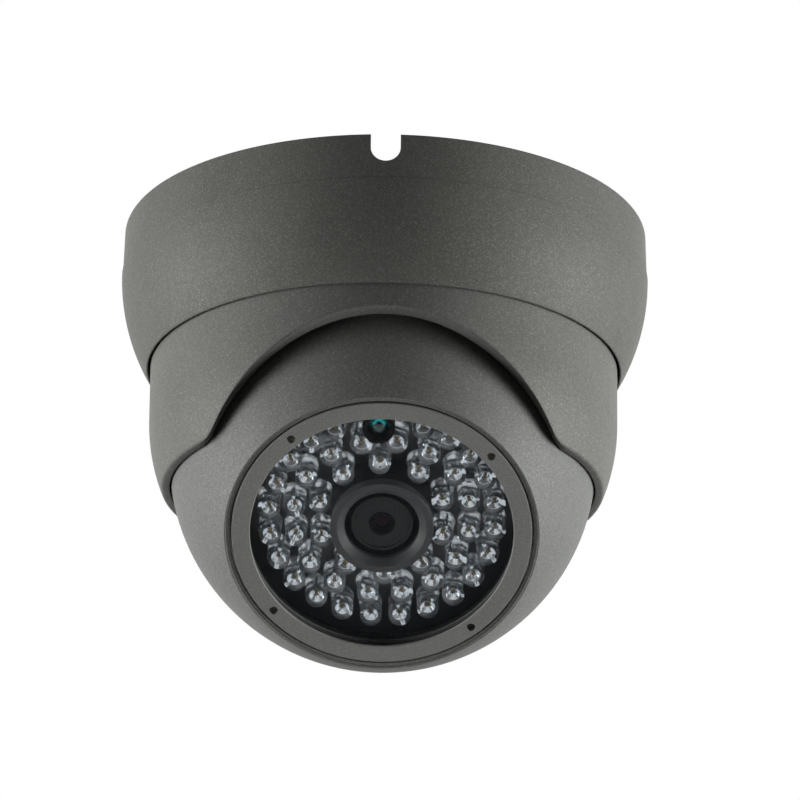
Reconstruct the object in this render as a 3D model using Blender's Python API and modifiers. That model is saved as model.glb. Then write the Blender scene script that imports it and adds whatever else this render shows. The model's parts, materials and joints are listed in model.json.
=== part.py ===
# Ceiling-mounted eyeball security camera: a cast base, a collar that pans in it and a ball that tilts.
# The ball holds a fixed lens, three rings of infrared lamps behind a round window, and the camera's boards.
# Metres, +Z up. The origin is on the ceiling, at the middle of the mounting plate, and the camera faces -Y.

import math

import bmesh
import bpy
from mathutils import Matrix, Vector

# Clearances
FIT = 0.0003                    # between pieces that are fixed to each other
PAN_CLEARANCE = 0.0006          # round the collar, where it turns in the base
BALL_CLEARANCE = 0.0004         # round the ball, where it tilts in the collar
FOCUS_CLEARANCE = 0.00015       # round the lens thread, which turns in its holder
SLEEVE_CLEARANCE = 0.00135      # round the lens head, inside its light sleeve

# Ball
BALL_RADIUS = 0.0482
BALL_WALL = 0.0025
BALL_HEADROOM = 0.0059          # from the ceiling to the top of the ball
REST_TILT = math.radians(51.5)  # optical axis below the horizon at rest
SPLIT_BEHIND = 0.006            # the two shells part this far behind the ball's centre
SHELL_SEAL_WIDTH = 0.0012
SHELL_SEAL_HEIGHT = 0.0010

# Collar
COLLAR_WALL = 0.0044
COLLAR_LIP_DROP = 0.0079        # the collar ends this far below the ball's centre
COLLAR_SHOULDER_RISE = 0.0081   # its shoulder starts this far above the ball's centre
COLLAR_FOOT_WIDTH = 0.0019      # flat lower edge round the ball
FLANGE_THICKNESS = 0.0024
SCALLOP_DROP = 0.0054           # from the base's lower edge to the top of the front cut-out
SCALLOP_RADIUS = 0.0436
SCALLOP_CORNER = 0.0040

# Base
BASE_OVERHANG = 0.0070          # the base's widest line stands out this far beyond the collar
BASE_HEIGHT = 0.0333
BASE_WALL = 0.0026
BASE_EDGE = 0.0008              # thickness of its lower edge
CREASE_DEPTH = 0.0107           # the widest line lies this far below the ceiling
CREASE_STEP = 0.0002
RIM_DRAFT = 0.0005              # the rim draws in this much towards the ceiling
LEDGE_HEIGHT = 0.0113           # the ledge that carries the collar stands this high above the lower edge
NOTCH_WIDTH = 0.0066
NOTCH_DEPTH = 0.0066
PAN_RING_THICKNESS = 0.0006
SNAP_RING_THICKNESS = 0.0014
SNAP_RING_WIDTH = 0.0024
SNAP_GROOVE = 0.0010

# Mounting plate
PLATE_THICKNESS = 0.0020
PLATE_GAP = 0.0070              # between the plate's edge and the inside of the base
CABLE_GAP_WIDTH = 0.0140
CABLE_GAP_LENGTH = 0.0300
SCREW_SLOT_WIDTH = 0.0045
SCREW_SLOT_LENGTH = 0.0090
SCREW_SLOT_RADIUS = 0.0350
SCREW_SLOTS = 3
HOOKS = 4
HOOK_WIDTH = 0.0120
HOOK_THICKNESS = 0.0016
HOOK_REACH = 0.0040
LUG_THICKNESS = 0.0020
LUG_LENGTH = 0.0050
LOCK_SCREW_RADIUS = 0.0015

# Tilt pivots
PIVOT_RADIUS = 0.0018
PIVOT_HEAD_RADIUS = 0.0032
PIVOT_HEAD_HEIGHT = 0.0018
PIVOT_ENGAGEMENT = 0.0018       # how far a pivot reaches into its bush
PIVOT_BOSS_WALL = 0.0022
PIVOT_BOSS_HEIGHT = 0.0020
BUSH_WALL = 0.0008

# Window, from the front
BEZEL_INNER = 0.0293
BEZEL_WIDTH = 0.0042
BEZEL_THICKNESS = 0.0008
BEZEL_RECESS = 0.0001
BEZEL_CHAMFER = 0.0003
LIP_WIDTH = 0.00125
LIP_EDGE = 0.0004               # the lip's outer edge stands up round its floor
LIP_STEP = 0.0003
SPANNER_HOLES = 4
SPANNER_HOLE_RADIUS = 0.0009
SPANNER_HOLE_DEPTH = 0.0006
SPANNER_FIRST_ANGLE = math.radians(40.0)
GLASS_THICKNESS = 0.0010
GASKET_WIDTH = 0.0036
GASKET_THICKNESS = 0.0008
SEAT_WIDTH = 0.0040
SEAT_THICKNESS = 0.0018

# Infrared lamps and their board
LED_RADIUS = 0.0025
LED_HEIGHT = 0.0086
LED_SUNK = 0.0019               # the lamps' tips lie this far behind the lens sleeve's rim
LED_RING_PITCH = 0.00545
LED_COUNTS = (10, 16, 24)
LED_FIRST_ANGLE = math.radians(92.0)    # the lamp board sits turned a little in the ball
SENSOR_GAP_SLOTS = 2            # places left out of the outer ring for the light sensor
LED_WEB_WIDTH = 0.0024
LED_WEB_THICKNESS = 0.0008
BOARD_THICKNESS = 0.0016
LED_BOARD_MARGIN = 0.0022       # the board reaches this far past its screw circle
LED_POST_RADIUS = 0.0019
LED_POSTS = 3
LED_POST_FIRST_ANGLE = math.radians(37.0)
SMALL_SCREW_RADIUS = 0.0009
SMALL_HEAD_RADIUS = 0.0018
SMALL_HEAD_HEIGHT = 0.0013
SMALL_SCREW_GRIP = 0.0040
SHROUD_RADIUS = 0.0036
SHROUD_WALL = 0.0008
SHROUD_HEIGHT = 0.0100
PHOTOCELL_HEIGHT = 0.0095
PHOTOCELL_CROWN = 0.0012

# Lens
SLEEVE_WALL = 0.00315
SLEEVE_RIM = 0.0014
SLEEVE_BEVEL = 0.0010
LENS_HEAD_RADIUS = 0.0070
LENS_HEAD_LENGTH = 0.0050
LENS_THREAD_RADIUS = 0.0060
LENS_THREAD_LENGTH = 0.0090
LENS_SUNK = 0.0021              # the lens front lies this far behind the sleeve's rim
LENS_CUP_RADIUS = 0.0062
LENS_CUP_DEPTH = 0.0013
LENS_EYE_RADIUS = 0.0034
LENS_EYE_LENGTH = 0.0035
LENS_EYE_CROWN = 0.0008
LENS_RING_THICKNESS = 0.0008
LENS_RING_INNER = 0.0030
HOLDER_WALL = 0.0016
HOLDER_LENGTH = 0.0260
HOLDER_WIDTH = 0.0180
FILTER_THICKNESS = 0.0006
FILTER_LENGTH = 0.0150
FILTER_WIDTH = 0.0084
FILTER_TRAVEL = 0.0065
FILTER_SLOT_CLEARANCE = 0.0004
SENSOR_LENGTH = 0.0100
SENSOR_WIDTH = 0.0090
SENSOR_HEIGHT = 0.0015
SENSOR_ROOM = 0.0008            # above and beside the image sensor
HOLDER_FLOOR = 0.0008
COIL_LENGTH = 0.0080
COIL_WIDTH = 0.0045
COIL_HEIGHT = 0.0045

# Boards behind the lens
BOARD_SIDE = 0.0380
BOARD_SPACING = 0.0100
STANDOFF_RADIUS = 0.0022
STANDOFF_INSET = 0.0035
SOCKET_LENGTH = 0.0120
SOCKET_WIDTH = 0.0055
SOCKET_HEIGHT = 0.0060
CAPACITOR_RADIUS = 0.0032
CAPACITOR_HEIGHT = 0.0070
CAPACITOR_OFFSET = 0.0100

# Shell screws and the cable gland
SHELL_SCREWS = 3
SHELL_SCREW_RADIUS = 0.0014
SHELL_HEAD_RADIUS = 0.0026
SHELL_HEAD_HEIGHT = 0.0022
SHELL_SCREW_GRIP = 0.0080       # thread length in the front shell
SHELL_SCREW_FLOOR = 0.0050      # from the shells' joint to the head's seat
SHELL_BOSS_WALL = 0.0016
GLAND_BORE_RADIUS = 0.0030
GLAND_WALL = 0.0030
GLAND_FLANGE_WIDTH = 0.0030
GLAND_FLANGE_THICKNESS = 0.0018
GLAND_FLAT_DEPTH = 0.0042       # the flat at the back of the ball, below the ball's own surface
GLAND_NUT_WIDTH = 0.0030
GLAND_NUT_THICKNESS = 0.0030

# Facets
FINE = 48
MEDIUM = 36
COARSE = 24
SMALL = 12
LED_SIDES = 8
STANDOFF_SIDES = 6
ARC_STEPS = 6
BALL_STEPS = 8
DOME_STEPS = 2
MERGE_DISTANCE = 0.00001
SMOOTH_UNDER = math.radians(35.0)

# Places that follow from the sizes above
SOCKET_RADIUS = BALL_RADIUS + BALL_CLEARANCE
COLLAR_RADIUS = SOCKET_RADIUS + COLLAR_WALL
MOUTH_RADIUS = COLLAR_RADIUS + PAN_CLEARANCE
CREASE_RADIUS = COLLAR_RADIUS + BASE_OVERHANG
BALL_DEPTH = BALL_RADIUS + BALL_HEADROOM
COLLAR_BOTTOM = BALL_DEPTH + COLLAR_LIP_DROP
SCALLOP_TOP = BASE_HEIGHT + SCALLOP_DROP
LEDGE_DEPTH = BASE_HEIGHT - LEDGE_HEIGHT
BEZEL_OUTER = BEZEL_INNER + BEZEL_WIDTH
WINDOW_BORE = BEZEL_OUTER + FIT
LIP_RADIUS = WINDOW_BORE + LIP_WIDTH
LIP_PLANE = math.sqrt(BALL_RADIUS ** 2 - LIP_RADIUS ** 2)
LIP_FLOOR = LIP_PLANE - LIP_STEP
BEZEL_FACE = LIP_PLANE - BEZEL_RECESS
GLASS_FRONT = BEZEL_FACE - BEZEL_THICKNESS - FIT
GLASS_BACK = GLASS_FRONT - GLASS_THICKNESS
SEAT_FRONT = GLASS_BACK - GASKET_THICKNESS - 2 * FIT
SEAT_BACK = SEAT_FRONT - SEAT_THICKNESS
SEAT_INNER = WINDOW_BORE - SEAT_WIDTH
SLEEVE_FRONT = GLASS_BACK - FIT
LED_TIP = SLEEVE_FRONT - LED_SUNK
LED_BOARD_FRONT = LED_TIP - LED_HEIGHT - LED_WEB_THICKNESS - FIT
LED_BOARD_BACK = LED_BOARD_FRONT - BOARD_THICKNESS
SLEEVE_BORE = LENS_HEAD_RADIUS + SLEEVE_CLEARANCE
SLEEVE_RADIUS = SLEEVE_BORE + SLEEVE_WALL
LED_RINGS = [SLEEVE_RADIUS + FIT + LED_RADIUS + ring * LED_RING_PITCH for ring in range(len(LED_COUNTS))]
LED_POST_CIRCLE = SEAT_INNER + LED_POST_RADIUS + FIT
LED_BOARD_RADIUS = LED_POST_CIRCLE + LED_BOARD_MARGIN
LENS_FRONT = SLEEVE_FRONT - LENS_SUNK
LENS_NECK = LENS_FRONT - LENS_HEAD_LENGTH
LENS_BACK = LENS_NECK - LENS_THREAD_LENGTH
HOLDER_BORE = LENS_THREAD_RADIUS + FOCUS_CLEARANCE
HOLDER_TUBE = HOLDER_BORE + HOLDER_WALL
HOLDER_TOP = LED_BOARD_FRONT - FIT
FILTER_SLOT_TOP = LENS_BACK - FIT
FILTER_SLOT_HEIGHT = FILTER_THICKNESS + 2 * FILTER_SLOT_CLEARANCE
FILTER_SLOT_FLOOR = FILTER_SLOT_TOP - FILTER_SLOT_HEIGHT
SENSOR_BOARD_FRONT = FILTER_SLOT_FLOOR - HOLDER_FLOOR - SENSOR_ROOM - SENSOR_HEIGHT - FIT
HOLDER_BACK = SENSOR_BOARD_FRONT + FIT
SENSOR_BOARD_BACK = SENSOR_BOARD_FRONT - BOARD_THICKNESS
HOLDER_BLOCK_TOP = FILTER_SLOT_TOP + HOLDER_WALL
MAIN_BOARD_FRONT = SENSOR_BOARD_BACK - BOARD_SPACING
MAIN_BOARD_BACK = MAIN_BOARD_FRONT - BOARD_THICKNESS
STANDOFF_PLACE = BOARD_SIDE / 2 - STANDOFF_INSET
BALL_BORE = BALL_RADIUS - BALL_WALL
SHELL_JOINT_RADIUS = math.sqrt(BALL_RADIUS ** 2 - SPLIT_BEHIND ** 2)
SHELL_BOSS_RADIUS = SHELL_HEAD_RADIUS + FIT + SHELL_BOSS_WALL
SHELL_SCREW_CIRCLE = BALL_BORE + BALL_WALL / 2 - SHELL_BOSS_RADIUS
GLAND_PLANE = BALL_RADIUS - GLAND_FLAT_DEPTH
GLAND_NECK = GLAND_BORE_RADIUS + GLAND_WALL


def clear_scene():
    for old in list(bpy.data.objects):
        bpy.data.objects.remove(old, do_unlink=True)


def new_collection(name):
    collection = bpy.data.collections.new(name)
    bpy.context.scene.collection.children.link(collection)
    return collection


def finish(name, colour, roughness, metallic=0.0, alpha=1.0):
    material = bpy.data.materials.new(name)
    material.use_nodes = True
    shader = material.node_tree.nodes["Principled BSDF"]
    shader.inputs["Base Color"].default_value = (*colour, 1.0)
    shader.inputs["Roughness"].default_value = roughness
    shader.inputs["Metallic"].default_value = metallic
    shader.inputs["Alpha"].default_value = alpha
    return material


clear_scene()
PARTS = new_collection("eyeball_camera")
CUTTERS = new_collection("cutters")

PAINT = finish("grey_paint", (0.085, 0.085, 0.078), 0.55, 0.3)
STEEL = finish("plated_steel", (0.55, 0.55, 0.56), 0.35, 1.0)
DARK_STEEL = finish("blackened_steel", (0.03, 0.03, 0.03), 0.4, 0.9)
NYLON = finish("white_nylon", (0.75, 0.74, 0.70), 0.5)
BLACK_PLASTIC = finish("black_plastic", (0.015, 0.015, 0.016), 0.45)
RUBBER = finish("black_rubber", (0.01, 0.01, 0.01), 0.75)
GLASS = finish("window_glass", (0.9, 0.95, 0.95), 0.05, 0.0, 0.2)
EPOXY = finish("clear_epoxy", (0.85, 0.87, 0.9), 0.1, 0.0, 0.5)
BLACK_BOARD = finish("black_circuit_board", (0.008, 0.009, 0.010), 0.4)
GREEN_BOARD = finish("green_circuit_board", (0.02, 0.12, 0.05), 0.4)
BRASS = finish("brass", (0.65, 0.48, 0.2), 0.3, 1.0)
CELL = finish("sensor_lens", (0.01, 0.10, 0.10), 0.1)
COATED_GLASS = finish("coated_lens_glass", (0.02, 0.015, 0.03), 0.05)


def frame_empty(name, location, tilt=0.0):
    empty = bpy.data.objects.new(name, None)
    empty.location = location
    empty.rotation_euler = (tilt, 0.0, 0.0)
    CUTTERS.objects.link(empty)
    empty.hide_render = True
    return empty


PAN_FRAME = frame_empty("pan_axis", (0.0, 0.0, 0.0))
BALL_FRAME = frame_empty("tilt_axis", (0.0, 0.0, -BALL_DEPTH), math.pi / 2 + REST_TILT)


def place(obj, parent):
    if parent is not None:
        obj.parent = parent
    return obj


def as_part(obj, material, parent=None):
    PARTS.objects.link(obj)
    obj.data.materials.clear()
    obj.data.materials.append(material)
    return place(obj, parent)


def as_cutter(obj, parent=None):
    CUTTERS.objects.link(obj)
    obj.hide_render = True
    obj.display_type = "WIRE"
    return place(obj, parent)


def combine(obj, other, operation):
    step = obj.modifiers.new(operation.lower() + "_" + other.name, "BOOLEAN")
    step.operation = operation
    step.solver = "EXACT"
    step.object = other
    return obj


def cut(obj, cutter, parent=None):
    return combine(obj, as_cutter(cutter, parent), "DIFFERENCE")


def join(obj, addition, parent=None):
    return combine(obj, as_cutter(addition, parent), "UNION")


def round_off(mesh):
    mesh.shade_smooth()
    mesh.set_sharp_from_angle(angle=SMOOTH_UNDER)
    return mesh


def turned(name, profile, steps, ring=True):
    """A profile of (radius, height) points, running down the outside, turned about Z."""
    mesh = bpy.data.meshes.new(name)
    count = len(profile)
    edges = [(i, i + 1) for i in range(count - 1)]
    if ring:
        edges.append((count - 1, 0))
    mesh.from_pydata([(radius, 0.0, height) for radius, height in profile], edges, [])
    outline = bpy.data.objects.new(name + "_profile", mesh)
    bpy.context.scene.collection.objects.link(outline)
    screw = outline.modifiers.new("turn", "SCREW")
    screw.axis = "Z"
    screw.steps = steps
    screw.render_steps = steps
    screw.use_merge_vertices = True
    screw.merge_threshold = MERGE_DISTANCE
    bpy.context.view_layer.update()
    solid = bpy.data.meshes.new_from_object(outline.evaluated_get(bpy.context.evaluated_depsgraph_get()))
    bpy.data.objects.remove(outline, do_unlink=True)
    solid.name = name
    return bpy.data.objects.new(name, round_off(solid))


def ring(name, inner, outer, low, high, steps):
    return turned(name, [(outer, high), (outer, low), (inner, low), (inner, high)], steps)


def rod(name, radius, low, high, steps, centre=(0.0, 0.0)):
    """A cylinder along Z between two heights."""
    mesh = bpy.data.meshes.new(name)
    form = bmesh.new()
    middle = Matrix.Translation((centre[0], centre[1], (low + high) / 2))
    bmesh.ops.create_cone(form, cap_ends=True, segments=steps, radius1=radius, radius2=radius,
                          depth=high - low, matrix=middle)
    form.to_mesh(mesh)
    form.free()
    return bpy.data.objects.new(name, round_off(mesh))


def box(name, size, centre, turn=Matrix.Identity(4)):
    mesh = bpy.data.meshes.new(name)
    form = bmesh.new()
    scale = Matrix.Diagonal((*size, 1.0))
    bmesh.ops.create_cube(form, size=1.0, matrix=turn @ Matrix.Translation(centre) @ scale)
    form.to_mesh(mesh)
    form.free()
    return bpy.data.objects.new(name, mesh)


def repeated(name, pattern, places):
    """One mesh with a copy of the pattern's mesh at each place."""
    form = bmesh.new()
    for where in places:
        copy = pattern.data.copy()
        copy.transform(where)
        form.from_mesh(copy)
        bpy.data.meshes.remove(copy)
    mesh = bpy.data.meshes.new(name)
    form.to_mesh(mesh)
    form.free()
    bpy.data.objects.remove(pattern, do_unlink=True)
    return bpy.data.objects.new(name, round_off(mesh))


def slab(name, outline, depth):
    """A flat outline in X and Z, standing from y = 0 towards -Y."""
    curve = bpy.data.curves.new(name, "CURVE")
    curve.dimensions = "2D"
    curve.fill_mode = "BOTH"
    curve.extrude = depth / 2
    spline = curve.splines.new("POLY")
    spline.points.add(len(outline) - 1)
    for point, (x, z) in zip(spline.points, outline):
        point.co = (x, z, 0.0, 1.0)
    spline.use_cyclic_u = True
    holder = bpy.data.objects.new(name + "_outline", curve)
    bpy.context.scene.collection.objects.link(holder)
    bpy.context.view_layer.update()
    mesh = bpy.data.meshes.new_from_object(holder.evaluated_get(bpy.context.evaluated_depsgraph_get()))
    bpy.data.objects.remove(holder, do_unlink=True)
    form = bmesh.new()
    form.from_mesh(mesh)
    bmesh.ops.remove_doubles(form, verts=form.verts, dist=MERGE_DISTANCE)
    bmesh.ops.recalc_face_normals(form, faces=form.faces)
    form.to_mesh(mesh)
    form.free()
    mesh.transform(Matrix.Translation((0.0, -depth / 2, 0.0)) @ Matrix.Rotation(math.pi / 2, 4, "X"))
    return bpy.data.objects.new(name, mesh)


def arc(centre, radius, start, end, steps):
    """Points on an arc in a profile's plane, both ends included."""
    angles = [start + (end - start) * i / steps for i in range(steps + 1)]
    return [(centre[0] + radius * math.cos(a), centre[1] + radius * math.sin(a)) for a in angles]


def falling_curve(top, bottom, steps):
    """An arc that leaves the top point straight down and bends in to the bottom point."""
    inset = top[0] - bottom[0]
    drop = top[1] - bottom[1]
    radius = (inset ** 2 + drop ** 2) / (2 * inset)
    return arc((top[0] - radius, top[1]), radius, 0.0, -math.asin(drop / radius), steps)


def crown(radius, top, height):
    """The profile of a shallow dome, from its top on the axis down to its edge."""
    sphere = (radius ** 2 + height ** 2) / (2 * height)
    edge = math.acos((sphere - height) / sphere)
    return arc((0.0, top - sphere), sphere, math.pi / 2, math.pi / 2 - edge, DOME_STEPS)


def around(count, first=0.0):
    return [first + 2 * math.pi * i / count for i in range(count)]


def polar(radius, angle, height=0.0):
    return Vector((radius * math.cos(angle), radius * math.sin(angle), height))


def spin(angle):
    return Matrix.Rotation(angle, 4, "Z")


# Base: cast housing, mounting plate and their lock screw
def base_curve():
    lower_edge = (MOUTH_RADIUS + BASE_EDGE, -BASE_HEIGHT)
    return falling_curve((CREASE_RADIUS, -CREASE_DEPTH), lower_edge, ARC_STEPS)


def radius_on(curve, height):
    """The radius of a falling curve at a height between its points."""
    for (r1, z1), (r2, z2) in zip(curve, curve[1:]):
        if z1 >= height >= z2:
            return r1 + (r2 - r1) * (height - z1) / (z2 - z1)
    return curve[-1][0]


BASE_CURVE = base_curve()
POCKET_RADIUS = radius_on(BASE_CURVE, -LEDGE_DEPTH) - BASE_WALL
FLANGE_BOTTOM = -LEDGE_DEPTH + PAN_RING_THICKNESS + 2 * FIT
FLANGE_TOP = FLANGE_BOTTOM + FLANGE_THICKNESS
SNAP_BOTTOM = FLANGE_TOP + FIT
SNAP_TOP = SNAP_BOTTOM + SNAP_RING_THICKNESS
PLATE_RADIUS = POCKET_RADIUS - PLATE_GAP
LUG_TOP = -PLATE_THICKNESS - FIT
HOOK_TOP = LUG_TOP - LUG_THICKNESS - FIT
HOOK_BOTTOM = HOOK_TOP - HOOK_THICKNESS
HOOK_LEG = HOOK_THICKNESS
HOOK_ANGLES = around(HOOKS, math.pi / HOOKS)
LOCK_HEIGHT = (HOOK_TOP + HOOK_BOTTOM) / 2


def wall_piece(name, inner, outer, low, high, width, angle):
    """A block that stands out from the axis at an angle, between two radii and two heights."""
    size = (outer - inner, width, high - low)
    return box(name, size, ((inner + outer) / 2, 0.0, (low + high) / 2), spin(angle))


def towards_back(obj):
    """Lays a piece made along Z towards +Y, at the lock screw's height."""
    turn = Matrix.Rotation(-math.pi / 2, 4, "X")
    obj.data.transform(Matrix.Translation((0.0, 0.0, LOCK_HEIGHT)) @ turn)
    return obj


def make_base_housing():
    rim = CREASE_RADIUS - RIM_DRAFT
    above_crease = (CREASE_RADIUS - CREASE_STEP, -CREASE_DEPTH + CREASE_STEP)
    groove = POCKET_RADIUS + SNAP_GROOVE
    profile = [(rim, 0.0), above_crease] + BASE_CURVE
    profile += [(MOUTH_RADIUS, -BASE_HEIGHT), (MOUTH_RADIUS, -LEDGE_DEPTH), (POCKET_RADIUS, -LEDGE_DEPTH)]
    profile += [(POCKET_RADIUS, SNAP_BOTTOM - FIT), (groove, SNAP_BOTTOM - FIT)]
    profile += [(groove, SNAP_TOP + FIT), (POCKET_RADIUS, SNAP_TOP + FIT), (POCKET_RADIUS, 0.0)]
    housing = as_part(turned("base_housing", profile, FINE), PAINT)
    for i, angle in enumerate(HOOK_ANGLES):
        bottom = LUG_TOP - LUG_THICKNESS
        lug = wall_piece(f"lug_{i + 1}", POCKET_RADIUS - LUG_LENGTH, POCKET_RADIUS + BASE_WALL / 2,
                         bottom, LUG_TOP, HOOK_WIDTH, angle)
        join(housing, lug)
    half = NOTCH_WIDTH / 2
    bottom = arc((0.0, half - NOTCH_DEPTH), half, math.pi, 2 * math.pi, SMALL)
    notch = slab("cable_notch", [(half, half), (-half, half)] + bottom, CREASE_RADIUS + BASE_WALL)
    cut(housing, notch)
    hole = rod("lock_screw_hole", LOCK_SCREW_RADIUS + FIT, 0.0, CREASE_RADIUS + BASE_WALL, SMALL)
    cut(housing, towards_back(hole))


def make_mounting_plate():
    plate = as_part(rod("mounting_plate", PLATE_RADIUS, -PLATE_THICKNESS, 0.0, FINE), STEEL)
    leg_inner = PLATE_RADIUS - HOOK_LEG
    for i, angle in enumerate(HOOK_ANGLES):
        leg = wall_piece(f"hook_leg_{i + 1}", leg_inner, PLATE_RADIUS - FIT, HOOK_BOTTOM,
                         -PLATE_THICKNESS / 2, HOOK_WIDTH, angle)
        foot = wall_piece(f"hook_foot_{i + 1}", leg_inner - FIT, PLATE_RADIUS + HOOK_REACH, HOOK_BOTTOM,
                          HOOK_TOP, HOOK_WIDTH - 2 * FIT, angle)
        join(plate, leg)
        join(plate, foot)
    stop = wall_piece("lock_stop", leg_inner, PLATE_RADIUS - FIT, LOCK_HEIGHT - 2 * LOCK_SCREW_RADIUS,
                      -PLATE_THICKNESS / 2, HOOK_WIDTH, math.pi / 2)
    join(plate, stop)
    tall = 4 * PLATE_THICKNESS
    gap_size = (CABLE_GAP_WIDTH, 2 * CABLE_GAP_LENGTH, tall)
    cut(plate, box("cable_gap", gap_size, (0.0, -PLATE_RADIUS, -PLATE_THICKNESS / 2)))
    for i, angle in enumerate(around(SCREW_SLOTS, math.pi / 2)):
        slot = wall_piece(f"screw_slot_{i + 1}", SCREW_SLOT_RADIUS - SCREW_SLOT_WIDTH / 2,
                          SCREW_SLOT_RADIUS + SCREW_SLOT_WIDTH / 2, -PLATE_THICKNESS - tall / 2, tall / 2,
                          SCREW_SLOT_LENGTH, angle)
        cut(plate, slot)


def make_lock_screw():
    rim_side = [(CREASE_RADIUS - RIM_DRAFT, 0.0), (CREASE_RADIUS - CREASE_STEP, -CREASE_DEPTH)]
    head = radius_on(rim_side, LOCK_HEIGHT) - BASE_EDGE
    as_part(towards_back(rod("base_lock_screw", LOCK_SCREW_RADIUS, PLATE_RADIUS, head, SMALL)), DARK_STEEL)


def make_pan_rings():
    low = -LEDGE_DEPTH + FIT
    high = low + PAN_RING_THICKNESS
    as_part(ring("pan_friction_ring", MOUTH_RADIUS, POCKET_RADIUS - FIT, low, high, FINE), NYLON)
    outer = POCKET_RADIUS + SNAP_GROOVE - FIT
    snap = ring("pan_snap_ring", outer - SNAP_RING_WIDTH, outer, SNAP_BOTTOM, SNAP_TOP, FINE)
    gap = box("snap_ring_gap", (HOOK_WIDTH, SNAP_RING_WIDTH * 4, SNAP_RING_THICKNESS * 2),
              (0.0, outer, (SNAP_BOTTOM + SNAP_TOP) / 2))
    cut(as_part(snap, STEEL), gap)


# Collar: turns in the base and carries the ball on two pivots
def scallop_outline():
    """The front cut-out: one arc over the top, with corner arcs that run out just below the collar."""
    floor = -COLLAR_BOTTOM - FIT
    centre = -SCALLOP_TOP - SCALLOP_RADIUS
    corner_height = floor + SCALLOP_CORNER
    reach = SCALLOP_RADIUS + SCALLOP_CORNER
    corner_x = math.sqrt(reach ** 2 - (corner_height - centre) ** 2)
    meet = math.atan2(corner_height - centre, corner_x)
    over = arc((0.0, centre), SCALLOP_RADIUS, meet, math.pi - meet, 2 * SMALL)
    left = arc((-corner_x, corner_height), SCALLOP_CORNER, -meet, -math.pi / 2, ARC_STEPS)
    right = arc((corner_x, corner_height), SCALLOP_CORNER, -math.pi / 2, -math.pi + meet, ARC_STEPS)
    below = floor - SCALLOP_CORNER
    return over[1:-1] + left + [(-corner_x, below), (corner_x, below)] + right


def make_collar():
    shoulder = -BALL_DEPTH + COLLAR_SHOULDER_RISE
    lip_height = -COLLAR_BOTTOM
    lip_radius = math.sqrt(SOCKET_RADIUS ** 2 - COLLAR_LIP_DROP ** 2)
    flange = POCKET_RADIUS - PAN_CLEARANCE
    seat_end = -math.asin(COLLAR_LIP_DROP / SOCKET_RADIUS)
    profile = [(flange, FLANGE_TOP), (flange, FLANGE_BOTTOM), (COLLAR_RADIUS, FLANGE_BOTTOM)]
    foot = (lip_radius + COLLAR_FOOT_WIDTH, lip_height)
    profile += falling_curve((COLLAR_RADIUS, shoulder), foot, ARC_STEPS)
    profile += arc((0.0, -BALL_DEPTH), SOCKET_RADIUS, seat_end, 0.0, ARC_STEPS // 2)
    profile += [(SOCKET_RADIUS, FLANGE_TOP)]
    collar = as_part(turned("pan_collar", profile, FINE), PAINT, PAN_FRAME)
    cut(collar, slab("front_scallop", scallop_outline(), COLLAR_RADIUS + COLLAR_WALL), PAN_FRAME)
    sockets = rod("bush_sockets", PIVOT_RADIUS + 2 * FIT + BUSH_WALL, -BUSH_BACK, BUSH_BACK, SMALL)
    cut(collar, at_ball_height(along_x(sockets)), PAN_FRAME)


BUSH_FRONT = SOCKET_RADIUS
BUSH_BACK = BUSH_FRONT + PIVOT_ENGAGEMENT + FIT


def along_x(obj, side=1):
    """Turns a piece made along Z to lie along the tilt axis, on one side."""
    obj.data.transform(Matrix.Rotation(side * math.pi / 2, 4, "Y"))
    return obj


def at_ball_height(obj):
    obj.data.transform(Matrix.Translation((0.0, 0.0, -BALL_DEPTH)))
    return obj


def make_pivots():
    tip = BUSH_FRONT + PIVOT_ENGAGEMENT - FIT
    head_top = BALL_BORE - PIVOT_BOSS_HEIGHT - FIT
    for word, side in (("left", -1), ("right", 1)):
        bush = ring(f"pivot_bush_{word}", PIVOT_RADIUS + FIT, PIVOT_RADIUS + FIT + BUSH_WALL,
                    BUSH_FRONT, BUSH_BACK - FIT, SMALL)
        as_part(at_ball_height(along_x(bush, side)), NYLON, PAN_FRAME)
        profile = [(0.0, tip), (PIVOT_RADIUS, tip), (PIVOT_RADIUS, head_top), (PIVOT_HEAD_RADIUS, head_top)]
        profile += [(PIVOT_HEAD_RADIUS, head_top - PIVOT_HEAD_HEIGHT), (0.0, head_top - PIVOT_HEAD_HEIGHT)]
        pivot = turned(f"tilt_pivot_{word}", profile, SMALL, ring=False)
        as_part(along_x(pivot, side), STEEL, BALL_FRAME)


# Ball: front and rear shells, their seal and screws
# From here on Z is the optical axis, measured from the ball's centre
def sphere_arc(radius, from_height, to_height, steps):
    return arc((0.0, 0.0), radius, math.asin(from_height / radius), math.asin(to_height / radius), steps)


FRONT_JOINT = -SPLIT_BEHIND + FIT / 2
REAR_JOINT = -SPLIT_BEHIND - FIT / 2
SHELL_SCREW_ANGLES = around(SHELL_SCREWS, math.pi / 2)
LED_POST_ANGLES = around(LED_POSTS, LED_POST_FIRST_ANGLE)
HEAD_SEAT = REAR_JOINT - SHELL_SCREW_FLOOR


def add_front_bosses(shell):
    top = FRONT_JOINT + SHELL_SCREW_GRIP + SHELL_BOSS_WALL
    for i, angle in enumerate(SHELL_SCREW_ANGLES):
        centre = polar(SHELL_SCREW_CIRCLE, angle)
        boss = rod(f"front_boss_{i + 1}", SHELL_BOSS_RADIUS, FRONT_JOINT + FIT, top, SMALL, centre)
        join(shell, boss, BALL_FRAME)
        hole = rod(f"front_boss_hole_{i + 1}", SHELL_SCREW_RADIUS + FIT, FRONT_JOINT - BALL_WALL,
                   FRONT_JOINT + SHELL_SCREW_GRIP + FIT, SMALL, centre)
        cut(shell, hole, BALL_FRAME)


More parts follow.
